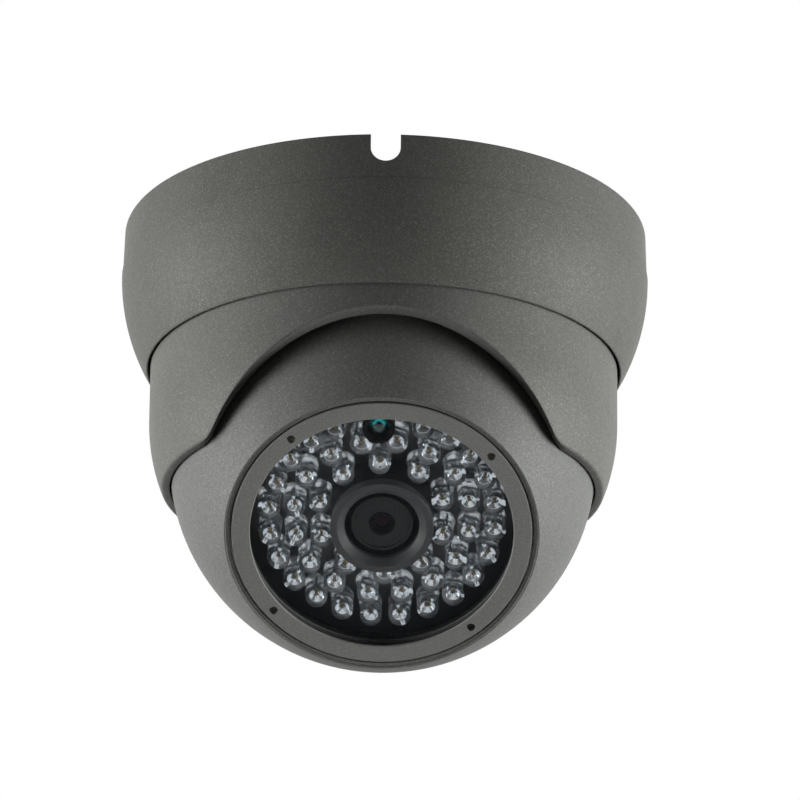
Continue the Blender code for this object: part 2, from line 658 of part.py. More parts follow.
def add_led_posts(shell):
    for i, angle in enumerate(LED_POST_ANGLES):
        centre = polar(LED_POST_CIRCLE, angle)
        post = rod(f"led_post_{i + 1}", LED_POST_RADIUS, LED_BOARD_FRONT + FIT,
                   SEAT_BACK + SEAT_THICKNESS / 2, SMALL, centre)
        join(shell, post, BALL_FRAME)
        hole = rod(f"led_post_hole_{i + 1}", SMALL_SCREW_RADIUS + FIT / 2, LED_BOARD_BACK,
                   LED_BOARD_FRONT + SMALL_SCREW_GRIP + FIT, SMALL, centre)
        cut(shell, hole, BALL_FRAME)


def add_pivot_bosses(shell):
    embedded = BALL_BORE + BALL_WALL / 2
    for word, side in (("left", -1), ("right", 1)):
        boss = rod(f"pivot_boss_{word}", PIVOT_RADIUS + PIVOT_BOSS_WALL, BALL_BORE - PIVOT_BOSS_HEIGHT,
                   embedded, SMALL)
        join(shell, along_x(boss, side), BALL_FRAME)
    reach = BALL_RADIUS + BALL_WALL
    cut(shell, along_x(rod("pivot_holes", PIVOT_RADIUS + FIT, -reach, reach, SMALL)), BALL_FRAME)


def make_front_shell():
    edge = LIP_RADIUS - LIP_EDGE
    profile = [(WINDOW_BORE, LIP_FLOOR), (edge, LIP_FLOOR), (edge, LIP_PLANE)]
    profile += sphere_arc(BALL_RADIUS, LIP_PLANE, FRONT_JOINT, BALL_STEPS)
    profile += sphere_arc(BALL_BORE, FRONT_JOINT, SEAT_BACK, ARC_STEPS - 1)
    profile += [(SEAT_INNER, SEAT_BACK), (SEAT_INNER, SEAT_FRONT), (WINDOW_BORE, SEAT_FRONT)]
    shell = as_part(turned("ball_front_shell", profile, MEDIUM), PAINT, BALL_FRAME)
    add_front_bosses(shell)
    add_led_posts(shell)
    add_pivot_bosses(shell)


def make_rear_shell():
    inner_flat = -GLAND_PLANE + BALL_WALL
    hole = GLAND_NECK + FIT
    profile = sphere_arc(BALL_RADIUS, REAR_JOINT, -GLAND_PLANE, BALL_STEPS)
    profile += [(hole, -GLAND_PLANE), (hole, inner_flat)]
    profile += sphere_arc(BALL_BORE, inner_flat, REAR_JOINT, ARC_STEPS - 1)
    shell = as_part(turned("ball_rear_shell", profile, MEDIUM), PAINT, BALL_FRAME)
    limit_radius = BALL_RADIUS - BALL_WALL / 2
    limit_profile = sphere_arc(limit_radius, limit_radius, -limit_radius, SMALL)
    limit = as_cutter(turned("rear_boss_limit", limit_profile, COARSE, ring=False), BALL_FRAME)
    for i, angle in enumerate(SHELL_SCREW_ANGLES):
        centre = polar(SHELL_SCREW_CIRCLE, angle)
        boss = rod(f"rear_boss_{i + 1}", SHELL_BOSS_RADIUS, -BALL_BORE, REAR_JOINT - FIT, SMALL, centre)
        combine(boss, limit, "INTERSECT")
        join(shell, boss, BALL_FRAME)
        tunnel = rod(f"head_tunnel_{i + 1}", SHELL_HEAD_RADIUS + FIT, -BALL_RADIUS, HEAD_SEAT,
                     SMALL, centre)
        cut(shell, tunnel, BALL_FRAME)
        hole = rod(f"rear_boss_hole_{i + 1}", SHELL_SCREW_RADIUS + FIT, HEAD_SEAT - BALL_WALL,
                   REAR_JOINT + BALL_WALL, SMALL, centre)
        cut(shell, hole, BALL_FRAME)
    middle = SEAL_RADIUS
    half = SHELL_SEAL_WIDTH / 2 + FIT / 2
    groove = ring("seal_groove", middle - half, middle + half, REAR_JOINT - SHELL_SEAL_HEIGHT - FIT / 2,
                  REAR_JOINT + BALL_WALL, MEDIUM)
    cut(shell, groove, BALL_FRAME)


SEAL_RADIUS = SHELL_JOINT_RADIUS - BALL_WALL / 2


def make_shell_fixings():
    half = SHELL_SEAL_WIDTH / 2
    seal = ring("shell_seal", SEAL_RADIUS - half, SEAL_RADIUS + half, REAR_JOINT - SHELL_SEAL_HEIGHT,
                REAR_JOINT, MEDIUM)
    as_part(seal, RUBBER, BALL_FRAME)
    tip = FRONT_JOINT + SHELL_SCREW_GRIP - FIT
    for i, angle in enumerate(SHELL_SCREW_ANGLES):
        shank = [(0.0, tip), (SHELL_SCREW_RADIUS, tip)]
        add_screw(f"shell_screw_{i + 1}", shank, HEAD_SEAT - FIT, SHELL_HEAD_RADIUS, SHELL_HEAD_HEIGHT,
                  polar(SHELL_SCREW_CIRCLE, angle))


def add_screw(name, shank, seat, head_radius, head_height, centre):
    """A screw from behind: its shank's tip, then the head under its seat."""
    shank_radius = shank[-1][0]
    profile = shank + [(shank_radius, seat), (head_radius, seat)]
    profile += [(head_radius, seat - head_height), (0.0, seat - head_height)]
    screw = turned(name, profile, SMALL, ring=False)
    screw.data.transform(Matrix.Translation(centre))
    as_part(screw, DARK_STEEL, BALL_FRAME)


# Window: bezel ring, glass and gasket
def make_window():
    low = GLASS_FRONT + FIT
    edge = BEZEL_FACE - BEZEL_CHAMFER
    profile = [(BEZEL_OUTER - BEZEL_CHAMFER, BEZEL_FACE), (BEZEL_OUTER, edge), (BEZEL_OUTER, low)]
    profile += [(BEZEL_INNER, low), (BEZEL_INNER, edge), (BEZEL_INNER + BEZEL_CHAMFER, BEZEL_FACE)]
    bezel = as_part(turned("front_bezel", profile, MEDIUM), PAINT, BALL_FRAME)
    hole_circle = (BEZEL_INNER + BEZEL_OUTER) / 2
    for i, angle in enumerate(around(SPANNER_HOLES, SPANNER_FIRST_ANGLE)):
        hole = rod(f"spanner_hole_{i + 1}", SPANNER_HOLE_RADIUS, BEZEL_FACE - SPANNER_HOLE_DEPTH,
                   BEZEL_FACE + BEZEL_THICKNESS, SMALL, polar(hole_circle, angle))
        cut(bezel, hole, BALL_FRAME)
    outer = WINDOW_BORE - FIT
    as_part(rod("window_glass", outer, GLASS_BACK, GLASS_FRONT, MEDIUM), GLASS, BALL_FRAME)
    gasket = ring("window_gasket", outer - GASKET_WIDTH, outer, SEAT_FRONT + FIT, GLASS_BACK - FIT, MEDIUM)
    as_part(gasket, RUBBER, BALL_FRAME)


# Infrared lamps, their board and the light sensor
def led_angles(ring_index):
    """The outer ring leaves places free at the top, for the light sensor."""
    count = LED_COUNTS[ring_index]
    if ring_index == 0:
        return around(count, LED_FIRST_ANGLE)
    angles = around(count, LED_FIRST_ANGLE + math.pi / count)
    if ring_index < len(LED_COUNTS) - 1:
        return angles
    skipped = SENSOR_GAP_SLOTS // 2
    return angles[skipped:count - skipped]


LED_WEB_BACK = LED_BOARD_FRONT + FIT
LED_WEB_FRONT = LED_WEB_BACK + LED_WEB_THICKNESS


def make_led_rings():
    dome = LED_TIP - LED_RADIUS
    foot = LED_WEB_BACK + LED_WEB_THICKNESS / 2
    for index, word in enumerate(("inner", "middle", "outer")):
        radius = LED_RINGS[index]
        web = ring(f"ir_leds_{word}", radius - LED_WEB_WIDTH / 2, radius + LED_WEB_WIDTH / 2,
                   LED_WEB_BACK, LED_WEB_FRONT, MEDIUM)
        as_part(web, EPOXY, BALL_FRAME)
        profile = arc((0.0, dome), LED_RADIUS, math.pi / 2, 0.0, DOME_STEPS)
        profile += [(LED_RADIUS, foot), (0.0, foot)]
        lamp = turned(f"led_{word}", profile, LED_SIDES, ring=False)
        places = [Matrix.Translation(polar(radius, angle)) @ spin(angle) for angle in led_angles(index)]
        join(web, repeated(f"leds_{word}", lamp, places), BALL_FRAME)


def make_led_board():
    board = ring("led_board", HOLDER_TUBE + FIT, LED_BOARD_RADIUS, LED_BOARD_BACK, LED_BOARD_FRONT, MEDIUM)
    as_part(board, BLACK_BOARD, BALL_FRAME)
    for i, angle in enumerate(LED_POST_ANGLES):
        centre = polar(LED_POST_CIRCLE, angle)
        hole = rod(f"led_board_hole_{i + 1}", SMALL_SCREW_RADIUS + FIT, LED_BOARD_BACK - BOARD_THICKNESS,
                   LED_BOARD_FRONT + BOARD_THICKNESS, SMALL, centre)
        cut(board, hole, BALL_FRAME)
        tip = LED_BOARD_FRONT + SMALL_SCREW_GRIP
        add_screw(f"led_board_screw_{i + 1}", [(0.0, tip), (SMALL_SCREW_RADIUS, tip)], LED_BOARD_BACK - FIT,
                  SMALL_HEAD_RADIUS, SMALL_HEAD_HEIGHT, centre)


def make_light_sensor():
    base = LED_WEB_FRONT + FIT
    centre = polar(LED_RINGS[-1], LED_FIRST_ANGLE)
    bore = SHROUD_RADIUS - SHROUD_WALL
    shroud = ring("photocell_shroud", bore, SHROUD_RADIUS, base, base + SHROUD_HEIGHT, COARSE)
    shroud.data.transform(Matrix.Translation(centre))
    as_part(shroud, BLACK_PLASTIC, BALL_FRAME)
    profile = crown(bore - FIT, base + PHOTOCELL_HEIGHT, PHOTOCELL_CROWN)
    profile += [(bore - FIT, base), (0.0, base)]
    cell = turned("photocell", profile, COARSE, ring=False)
    cell.data.transform(Matrix.Translation(centre))
    as_part(cell, CELL, BALL_FRAME)


# Lens, its light sleeve and its holder with the sliding infrared filter
def make_lens_sleeve():
    foot = LED_BOARD_FRONT + FIT
    rim_inner = SLEEVE_RADIUS - SLEEVE_RIM
    profile = [(SLEEVE_RADIUS, SLEEVE_FRONT), (SLEEVE_RADIUS, foot), (SLEEVE_BORE, foot)]
    profile += [(SLEEVE_BORE, SLEEVE_FRONT - SLEEVE_BEVEL), (rim_inner, SLEEVE_FRONT)]
    as_part(turned("lens_sleeve", profile, MEDIUM), BLACK_PLASTIC, BALL_FRAME)


def make_lens():
    cup_floor = LENS_FRONT - LENS_CUP_DEPTH
    bore = LENS_EYE_RADIUS + FIT
    profile = [(LENS_HEAD_RADIUS, LENS_FRONT), (LENS_HEAD_RADIUS, LENS_NECK)]
    profile += [(LENS_THREAD_RADIUS, LENS_NECK), (LENS_THREAD_RADIUS, LENS_BACK)]
    profile += [(bore, LENS_BACK), (bore, cup_floor)]
    profile += [(LENS_CUP_RADIUS, cup_floor), (LENS_CUP_RADIUS, LENS_FRONT)]
    as_part(turned("lens_barrel", profile, COARSE), BLACK_PLASTIC, BALL_FRAME)
    low = cup_floor + FIT
    high = low + LENS_RING_THICKNESS
    keeper = ring("lens_retaining_ring", LENS_RING_INNER, LENS_CUP_RADIUS - FIT, low, high, COARSE)
    as_part(keeper, DARK_STEEL, BALL_FRAME)
    eye = LENS_EYE_RADIUS
    profile = crown(eye, cup_floor, LENS_EYE_CROWN)
    profile += [(eye, cup_floor - LENS_EYE_LENGTH), (0.0, cup_floor - LENS_EYE_LENGTH)]
    as_part(turned("lens_front_element", profile, COARSE, ring=False), COATED_GLASS, BALL_FRAME)
    rear = rod("lens_rear_element", eye, LENS_BACK + FIT, LENS_BACK + FIT + LENS_EYE_LENGTH, COARSE)
    as_part(rear, COATED_GLASS, BALL_FRAME)


def slot_box(name, length, width, low, high, x=0.0, y=0.0):
    return box(name, (length, width, high - low), (x, y, (low + high) / 2))


def make_lens_holder():
    block = slot_box("lens_holder", HOLDER_LENGTH, HOLDER_WIDTH, HOLDER_BACK, HOLDER_BLOCK_TOP)
    holder = as_part(block, BLACK_PLASTIC, BALL_FRAME)
    join(holder, rod("holder_tube", HOLDER_TUBE, FILTER_SLOT_TOP + FIT, HOLDER_TOP, COARSE), BALL_FRAME)
    bore_end = HOLDER_TOP + HOLDER_WALL
    cut(holder, rod("holder_bore", HOLDER_BORE, FILTER_SLOT_FLOOR + FIT, bore_end, COARSE), BALL_FRAME)
    travel_room = FILTER_LENGTH + FILTER_TRAVEL + 2 * FILTER_SLOT_CLEARANCE
    slot = slot_box("filter_slot", travel_room, FILTER_WIDTH + 2 * FILTER_SLOT_CLEARANCE,
                    FILTER_SLOT_FLOOR, FILTER_SLOT_TOP)
    cut(holder, slot, BALL_FRAME)
    room = slot_box("sensor_room", SENSOR_LENGTH + 2 * SENSOR_ROOM, SENSOR_WIDTH + 2 * SENSOR_ROOM,
                    HOLDER_BACK - FIT, FILTER_SLOT_FLOOR - HOLDER_FLOOR)
    cut(holder, room, BALL_FRAME)
    light_path = rod("light_path", FILTER_WIDTH / 2 - FILTER_SLOT_CLEARANCE, HOLDER_BACK + SENSOR_HEIGHT,
                     FILTER_SLOT_TOP - FIT, COARSE)
    cut(holder, light_path, BALL_FRAME)
    low = FILTER_SLOT_FLOOR + FILTER_SLOT_CLEARANCE
    filter_plate = slot_box("ir_cut_filter", FILTER_LENGTH, FILTER_WIDTH, low, low + FILTER_THICKNESS,
                            x=-FILTER_TRAVEL / 2)
    as_part(filter_plate, GLASS, BALL_FRAME)
    beside = HOLDER_WIDTH / 2 + FIT + COIL_WIDTH / 2
    coil_top = HOLDER_BACK + COIL_HEIGHT
    coil = slot_box("ir_cut_coil", COIL_LENGTH, COIL_WIDTH, HOLDER_BACK, coil_top, y=-beside)
    as_part(coil, BRASS, BALL_FRAME)
    sensor = slot_box("image_sensor", SENSOR_LENGTH, SENSOR_WIDTH, HOLDER_BACK, HOLDER_BACK + SENSOR_HEIGHT)
    as_part(sensor, CELL, BALL_FRAME)


# Boards behind the lens, held by standoffs from the lamps' board
def corner_places():
    return [(x * STANDOFF_PLACE, y * STANDOFF_PLACE) for x in (-1, 1) for y in (-1, 1)]


def make_boards():
    for name, low in (("sensor_board", SENSOR_BOARD_BACK), ("main_board", MAIN_BOARD_BACK)):
        board = slot_box(name, BOARD_SIDE, BOARD_SIDE, low, low + BOARD_THICKNESS)
        as_part(board, GREEN_BOARD, BALL_FRAME)
    for i, centre in enumerate(corner_places()):
        front = rod(f"front_standoff_{i + 1}", STANDOFF_RADIUS, SENSOR_BOARD_FRONT + FIT,
                    LED_BOARD_BACK - FIT, STANDOFF_SIDES, centre)
        rear = rod(f"rear_standoff_{i + 1}", STANDOFF_RADIUS, MAIN_BOARD_FRONT + FIT,
                   SENSOR_BOARD_BACK - FIT, STANDOFF_SIDES, centre)
        screw = rod(f"board_screw_{i + 1}", SMALL_HEAD_RADIUS, MAIN_BOARD_BACK - FIT - SMALL_HEAD_HEIGHT,
                    MAIN_BOARD_BACK - FIT, SMALL, centre)
        as_part(front, BRASS, BALL_FRAME)
        as_part(rear, BRASS, BALL_FRAME)
        as_part(screw, DARK_STEEL, BALL_FRAME)
    behind = MAIN_BOARD_BACK - FIT
    socket = slot_box("cable_socket", SOCKET_LENGTH, SOCKET_WIDTH, behind - SOCKET_HEIGHT, behind)
    as_part(socket, NYLON, BALL_FRAME)
    capacitor = rod("power_capacitor", CAPACITOR_RADIUS, behind - CAPACITOR_HEIGHT, behind, COARSE,
                    (0.0, CAPACITOR_OFFSET))
    as_part(capacitor, STEEL, BALL_FRAME)


# Cable gland through the back of the ball, with its nut inside
def make_gland():
    outside = -GLAND_PLANE - FIT
    flange = GLAND_NECK + GLAND_FLANGE_WIDTH
    nut_low = -GLAND_PLANE + BALL_WALL + FIT
    nut_high = nut_low + GLAND_NUT_THICKNESS
    back = outside - GLAND_FLANGE_THICKNESS
    inside = nut_high + FIT
    profile = [(GLAND_NECK, inside), (GLAND_NECK, outside), (flange, outside), (flange, back)]
    profile += [(GLAND_BORE_RADIUS, back), (GLAND_BORE_RADIUS, inside)]
    as_part(turned("cable_gland", profile, COARSE), RUBBER, BALL_FRAME)
    inner = GLAND_NECK + FIT
    nut = ring("gland_nut", inner, inner + GLAND_NUT_WIDTH, nut_low, nut_high, SMALL)
    as_part(nut, BRASS, BALL_FRAME)


def make_camera():
    make_base_housing()
    make_mounting_plate()
    make_lock_screw()
    make_pan_rings()
    make_collar()
    make_pivots()
    make_front_shell()
    make_rear_shell()
    make_shell_fixings()
    make_window()
    make_led_rings()
    make_led_board()
    make_light_sensor()
    make_lens_sleeve()
    make_lens()
    make_lens_holder()
    make_boards()
    make_gland()


make_camera()
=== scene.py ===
# %% [markdown]
# # An eyeball dome camera
# The camera hangs under a ceiling. A bowl-shaped cast base holds a collar that pans, and the collar holds a
# ball that tilts. A round window in the ball shows three rings of clear infrared lamps, a light sensor and
# a small lens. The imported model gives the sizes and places. This lesson gives the camera its fine shapes
# and its finishes, in metres, with +Z up and the camera's front towards -Y.

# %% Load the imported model
import json
import math
from collections import namedtuple

import bmesh
import bpy
from mathutils import Matrix, Quaternion, Vector


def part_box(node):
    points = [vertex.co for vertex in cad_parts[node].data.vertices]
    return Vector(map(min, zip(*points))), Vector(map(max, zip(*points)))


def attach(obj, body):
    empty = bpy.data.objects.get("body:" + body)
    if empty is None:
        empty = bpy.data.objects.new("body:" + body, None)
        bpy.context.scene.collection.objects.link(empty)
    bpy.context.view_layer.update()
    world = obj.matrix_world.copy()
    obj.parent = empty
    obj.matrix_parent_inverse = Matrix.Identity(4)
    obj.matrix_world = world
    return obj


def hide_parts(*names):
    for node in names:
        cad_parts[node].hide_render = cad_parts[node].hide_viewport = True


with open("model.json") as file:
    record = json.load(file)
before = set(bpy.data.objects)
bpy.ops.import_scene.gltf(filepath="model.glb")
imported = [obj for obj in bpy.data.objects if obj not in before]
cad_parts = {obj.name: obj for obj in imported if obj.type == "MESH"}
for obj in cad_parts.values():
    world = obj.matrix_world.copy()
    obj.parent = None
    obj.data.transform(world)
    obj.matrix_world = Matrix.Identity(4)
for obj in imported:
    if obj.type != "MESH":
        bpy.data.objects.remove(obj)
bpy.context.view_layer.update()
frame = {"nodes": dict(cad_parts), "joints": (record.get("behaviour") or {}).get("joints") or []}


def mm(length):
    """A length in millimetres, for the lines that are printed."""
    return round(1000.0 * length, 2)


# %% [markdown]
# Almost every piece of this camera was turned or cast round. The base and the collar are round about the
# upright pan axis, and the ball with all it holds is round about the lens's optical axis. Two matrices
# stand for these axes, so that each piece can be drawn about Z and then put in its place.

# %% Find the two axes
joints = {joint["name"]: joint for joint in frame["joints"]}
tilt_line = Vector(joints["tilt"]["axis"]).normalized()
optical_axis = Vector(joints["lens_focus"]["axis"]).normalized()
UPRIGHT = Matrix.Identity(4)
BALL = Matrix((tilt_line, optical_axis.cross(tilt_line), optical_axis)).transposed().to_4x4()
BALL.translation = Vector(joints["tilt"]["pos_m"])
print("The ball's centre lies", mm(-BALL.translation.z), "mm under the ceiling")

# %% [markdown]
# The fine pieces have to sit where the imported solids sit, so their sizes are measured on these solids. A
# round solid is known by its radii and its places along its axis.

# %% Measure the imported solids
SAME_PLACE = 0.00002
Span = namedtuple("Span", "inner outer low high")


def corners_of(node, axes):
    """The corners of a CAD node, seen from its axes."""
    seen = axes.inverted()
    return [seen @ corner.co for corner in frame["nodes"][node].data.vertices]


def round_points(node, axes):
    """The corners of a CAD node as (radius, place along the axis)."""
    return [(math.hypot(corner.x, corner.y), corner.z) for corner in corners_of(node, axes)]


def span(node, axes):
    """Smallest and largest radius, then lowest and highest place, of a CAD node."""
    radii, places = zip(*round_points(node, axes))
    return Span(min(radii), max(radii), min(places), max(places))


def radii_at(node, axes, place):
    """Smallest and largest radius of a CAD node at one place along its axis."""
    radii = [radius for radius, here in round_points(node, axes) if abs(here - place) < SAME_PLACE]
    return min(radii), max(radii)


ball_radius = span("ball_front_shell", BALL).outer
print("The ball's radius is", mm(ball_radius), "mm")

# %% [markdown]
# A lathe gives the smoothest round pieces: an outline of (radius, height, softness) corners is turned about
# Z. The softness rounds a corner with a short curve, because a painted casting has no knife edges, and a
# rounded edge catches the light. Normals are recalculated after the seam is merged, because a spin can turn
# a mesh inside out.

# %% Make the lathe
TURN_STEPS = 192
SMALL_TURN_STEPS = 64
CORNER_STEPS = 4
MERGE_DISTANCE = 0.000001
SHARP_EDGE = math.radians(33.0)


def arc(centre, radius, start, end, steps):
    """Corners on an arc, both ends included, none of them softened."""
    angles = [start + (end - start) * step / steps for step in range(steps + 1)]
    return [(centre[0] + radius * math.cos(a), centre[1] + radius * math.sin(a), 0.0) for a in angles]


def bend_radius(inset, drop):
    """The radius of an arc that sets out straight and moves in by an inset over a drop."""
    return (inset ** 2 + drop ** 2) / (2 * inset)


def falling_curve(top, bottom, steps):
    """An arc that leaves its top point straight down and bends in to its bottom point."""
    drop = top[1] - bottom[1]
    radius = bend_radius(top[0] - bottom[0], drop)
    return arc((top[0] - radius, top[1]), radius, 0.0, -math.asin(drop / radius), steps)


def softened(outline):
    """Rounds each corner of a closed outline by its softness."""
    points = []
    for i, (radius, height, softness) in enumerate(outline):
        here = Vector((radius, height))
        if softness == 0.0:
            points.append(here)
            continue
        before = Vector(outline[i - 1][:2])
        after = Vector(outline[(i + 1) % len(outline)][:2])
        start = here + (before - here).normalized() * softness
        end = here + (after - here).normalized() * softness
        for step in range(CORNER_STEPS + 1):
            share = step / CORNER_STEPS
            points.append(start * (1 - share) ** 2 + here * (2 * share * (1 - share)) + end * share ** 2)
    return points


def shaded(mesh, angle=SHARP_EDGE):
    """Smooth shading that keeps edges sharper than the angle crisp."""
    mesh.shade_smooth()
    mesh.set_sharp_from_angle(angle=angle)
    return mesh


def ended(name, form, axes):
    """Closes a form's seams, points its faces outwards and makes it an object."""
    bmesh.ops.remove_doubles(form, verts=form.verts, dist=MERGE_DISTANCE)
    bmesh.ops.recalc_face_normals(form, faces=form.faces)
    mesh = bpy.data.meshes.new(name)
    form.to_mesh(mesh)
    form.free()
    mesh.transform(axes)
    piece = bpy.data.objects.new(name, shaded(mesh))
    bpy.context.scene.collection.objects.link(piece)
    return piece


def turned(name, outline, axes=UPRIGHT, steps=TURN_STEPS):
    """Turns a closed outline about an axis. An edge that lies on the axis is left out."""
    form = bmesh.new()
    corners = [form.verts.new((point.x, 0.0, point.y)) for point in softened(outline)]
    edges = []
    for first, second in zip(corners, corners[1:] + corners[:1]):
        if max(first.co.x, second.co.x) > MERGE_DISTANCE:
            edges.append(form.edges.new((first, second)))
    bmesh.ops.spin(form, geom=corners + edges, cent=(0.0, 0.0, 0.0), axis=(0.0, 0.0, 1.0),
                   angle=2 * math.pi, steps=steps, use_merge=True)
    return ended(name, form, axes)


def rod(name, radius, low, high, axes=UPRIGHT, softness=0.0, steps=SMALL_TURN_STEPS):
    """A solid round rod."""
    outline = [(0.0, high, 0.0), (radius, high, softness), (radius, low, softness), (0.0, low, 0.0)]
    return turned(name, outline, axes, steps)


print("The lathe turns in", TURN_STEPS, "steps, small pieces in", SMALL_TURN_STEPS)

# %% [markdown]
# Two outlines come back often, so each has a function of its own: a tube, such as a sleeve or a gasket, and
# a domed glass. Holes and bosses are tools, worked into a piece by an exact boolean, which keeps a clean
# edge where a round hole meets a round wall.

# %% Make tubes and domes, and work a tool into a piece
def tube(name, size, axes, top_soft=0.0, low_soft=0.0, steps=TURN_STEPS):
    """A round tube of a given span."""
    return turned(name, [(size.outer, size.high, top_soft), (size.outer, size.low, low_soft),
                         (size.inner, size.low, low_soft), (size.inner, size.high, top_soft)], axes, steps)


def domed(name, size, crown, axes, steps):
    """A round glass with a flat back and a dome of a given crown at its front."""
    bend = bend_radius(crown, size.outer)
    dome = arc((0.0, size.high - bend), bend, math.pi / 2, math.asin(1 - crown / bend), steps)
    return turned(name, dome + [(size.outer, size.low, 0.0), (0.0, size.low, 0.0)], axes, SMALL_TURN_STEPS)


def plain_mesh(piece):
    """The mesh of a piece with its modifiers worked in. The modifiers are cleared away."""
    depsgraph = bpy.context.evaluated_depsgraph_get()
    mesh = bpy.data.meshes.new_from_object(piece.evaluated_get(depsgraph))
    piece.modifiers.clear()
    return mesh


def worked(piece, tool, operation):
    """Joins a tool to a piece, or cuts it out, and clears the tool away."""
    step = piece.modifiers.new("work", "BOOLEAN")
    step.operation = operation
    step.solver = "EXACT"
    step.object = tool
    piece.data = shaded(plain_mesh(piece))
    bpy.data.objects.remove(tool, do_unlink=True)
    return piece


print("Edges sharper than", round(math.degrees(SHARP_EDGE)), "degrees stay crisp")

# %% [markdown]
# Rings of parts, finishes and lights are all trees of nodes. A few small functions add a node and feed its
# inputs, so that a tree reads as a list of steps.

# %% Wire up nodes
def fed(tree, node, inputs):
    """Sets a node's inputs, by place or by name, to plain values or to links from other sockets."""
    for place, value in inputs.items():
        if isinstance(value, bpy.types.NodeSocket):
            tree.links.new(value, node.inputs[place])
        else:
            node.inputs[place].default_value = value
    return node


def added(tree, kind, inputs=None, **settings):
    """Adds a node with its settings and its inputs."""
    node = tree.nodes.new(kind)
    for label, value in settings.items():
        setattr(node, label, value)
    return fed(tree, node, inputs or {})


def sum_in(tree, operation, *values):
    """The result of a sum."""
    return added(tree, "ShaderNodeMath", dict(enumerate(values)), operation=operation).outputs[0]


def spaced(values):
    """Socket names with their spaces back."""
    return {label.replace("_", " "): value for label, value in values.items()}


print("Nodes are wired in Blender", bpy.app.version_string)

# %% [markdown]
# The lamps, lugs, bosses and screws of the camera stand in rings. Geometry Nodes set them out: points on a
# circle, with a place or two left out, each carrying a copy of one part. The lamps were soldered by hand,
# so the tree can also lean and twist each copy at random, with a fixed seed. The result is made a plain
# mesh.

# %% Build the ring of parts
def ring_tree():
    tree = bpy.data.node_groups.new("ring_of_parts", "GeometryNodeTree")
    kinds = {"Part": "Object", "Count": "Int", "Left out": "Int", "Seed": "Int", "Radius": "Float",
             "Height": "Float", "First angle": "Float", "Lean": "Float", "Twist": "Float",
             "Finish": "Material"}
    for label, kind in kinds.items():
        tree.interface.new_socket(label, in_out="INPUT", socket_type="NodeSocket" + kind)
    tree.interface.new_socket("Ring", in_out="OUTPUT", socket_type="NodeSocketGeometry")
    start = added(tree, "NodeGroupInput").outputs

    def step(kind, *inputs, **settings):
        return added(tree, kind, dict(enumerate(inputs)), **settings).outputs[0]

    def sum_of(operation, *values):
        return sum_in(tree, operation, *values)

    index = step("GeometryNodeInputIndex")
    turn = sum_of("DIVIDE", 2 * math.pi, start["Count"])
    angle = sum_of("ADD", start["First angle"], sum_of("MULTIPLY", index, turn))
    x = sum_of("MULTIPLY", start["Radius"], sum_of("COSINE", angle))
    y = sum_of("MULTIPLY", start["Radius"], sum_of("SINE", angle))
    place = step("ShaderNodeCombineXYZ", x, y, start["Height"])
    points = step("GeometryNodePoints", start["Count"], place)
    most = step("ShaderNodeCombineXYZ", start["Lean"], start["Lean"], start["Twist"])
    least = step("ShaderNodeVectorMath", most, (-1.0, -1.0, -1.0), operation="MULTIPLY")
    loose = added(tree, "FunctionNodeRandomValue", data_type="FLOAT_VECTOR")
    fed(tree, loose, {0: least, 1: most, "Seed": start["Seed"]})
    facing = step("ShaderNodeCombineXYZ", 0.0, 0.0, angle)
    turned_by = step("ShaderNodeVectorMath", facing, loose.outputs[0], operation="ADD")
    rotation = step("FunctionNodeEulerToRotation", turned_by)
    last = sum_of("SUBTRACT", start["Count"], start["Left out"])
    too_early = sum_of("LESS_THAN", index, start["Left out"])
    too_late = sum_of("GREATER_THAN", index, sum_of("SUBTRACT", last, 0.5))
    kept = step("FunctionNodeBooleanMath", sum_of("ADD", too_early, too_late), operation="NOT")
    part = added(tree, "GeometryNodeObjectInfo", {0: start["Part"]}).outputs["Geometry"]
    ring = added(tree, "GeometryNodeInstanceOnPoints", {
        "Points": points, "Selection": kept, "Instance": part, "Rotation": rotation})
    solid = step("GeometryNodeRealizeInstances", ring.outputs[0])
    painted = added(tree, "GeometryNodeSetMaterial", {0: solid, 2: start["Finish"]})
    added(tree, "NodeGroupOutput", {0: painted.outputs[0]})
    return tree


RING_OF_PARTS = ring_tree()


def ring_of(name, part, axes=UPRIGHT, **sizes):
    """A plain mesh of the parts in a ring. The single part is cleared away."""
    piece = bpy.data.objects.new(name, bpy.data.meshes.new(name))
    bpy.context.scene.collection.objects.link(piece)
    step = piece.modifiers.new("ring", "NODES")
    step.node_group = RING_OF_PARTS
    values = {"Part": part, "Seed": 1, **spaced(sizes)}
    for socket in RING_OF_PARTS.interface.items_tree:
        if socket.in_out == "INPUT" and socket.name in values:
            step[socket.identifier] = values[socket.name]
    piece.data = plain_mesh(piece)
    piece.data.transform(axes)
    bpy.data.objects.remove(part, do_unlink=True)
    return piece


print("The ring tree has", len(RING_OF_PARTS.nodes), "nodes")

# %% [markdown]
# Several finishes share the same small effects, so each effect is a node group that is built once. Powder
# grain is the fine speckle of a sprayed metallic paint: a noise a third of a millimetre across, with bright
# flecks. Handling is the slow unevenness that every real surface has in colour and gloss.

# %% Build the shared shader effects
GRAIN_SCALE = 2600.0
GRAIN_DETAIL = 2.0
GRAIN_RANGE = (0.28, 0.72)
FLECK_RANGE = (0.80, 1.0)
FLECK_RISE = 0.3
MOTTLE_SCALE = 60.0
MOTTLE_DETAIL = 4.0
MOTTLE_RANGE = (0.3, 0.7)
FINE_DETAIL = 3.0
FINE_RATIO = 14.0


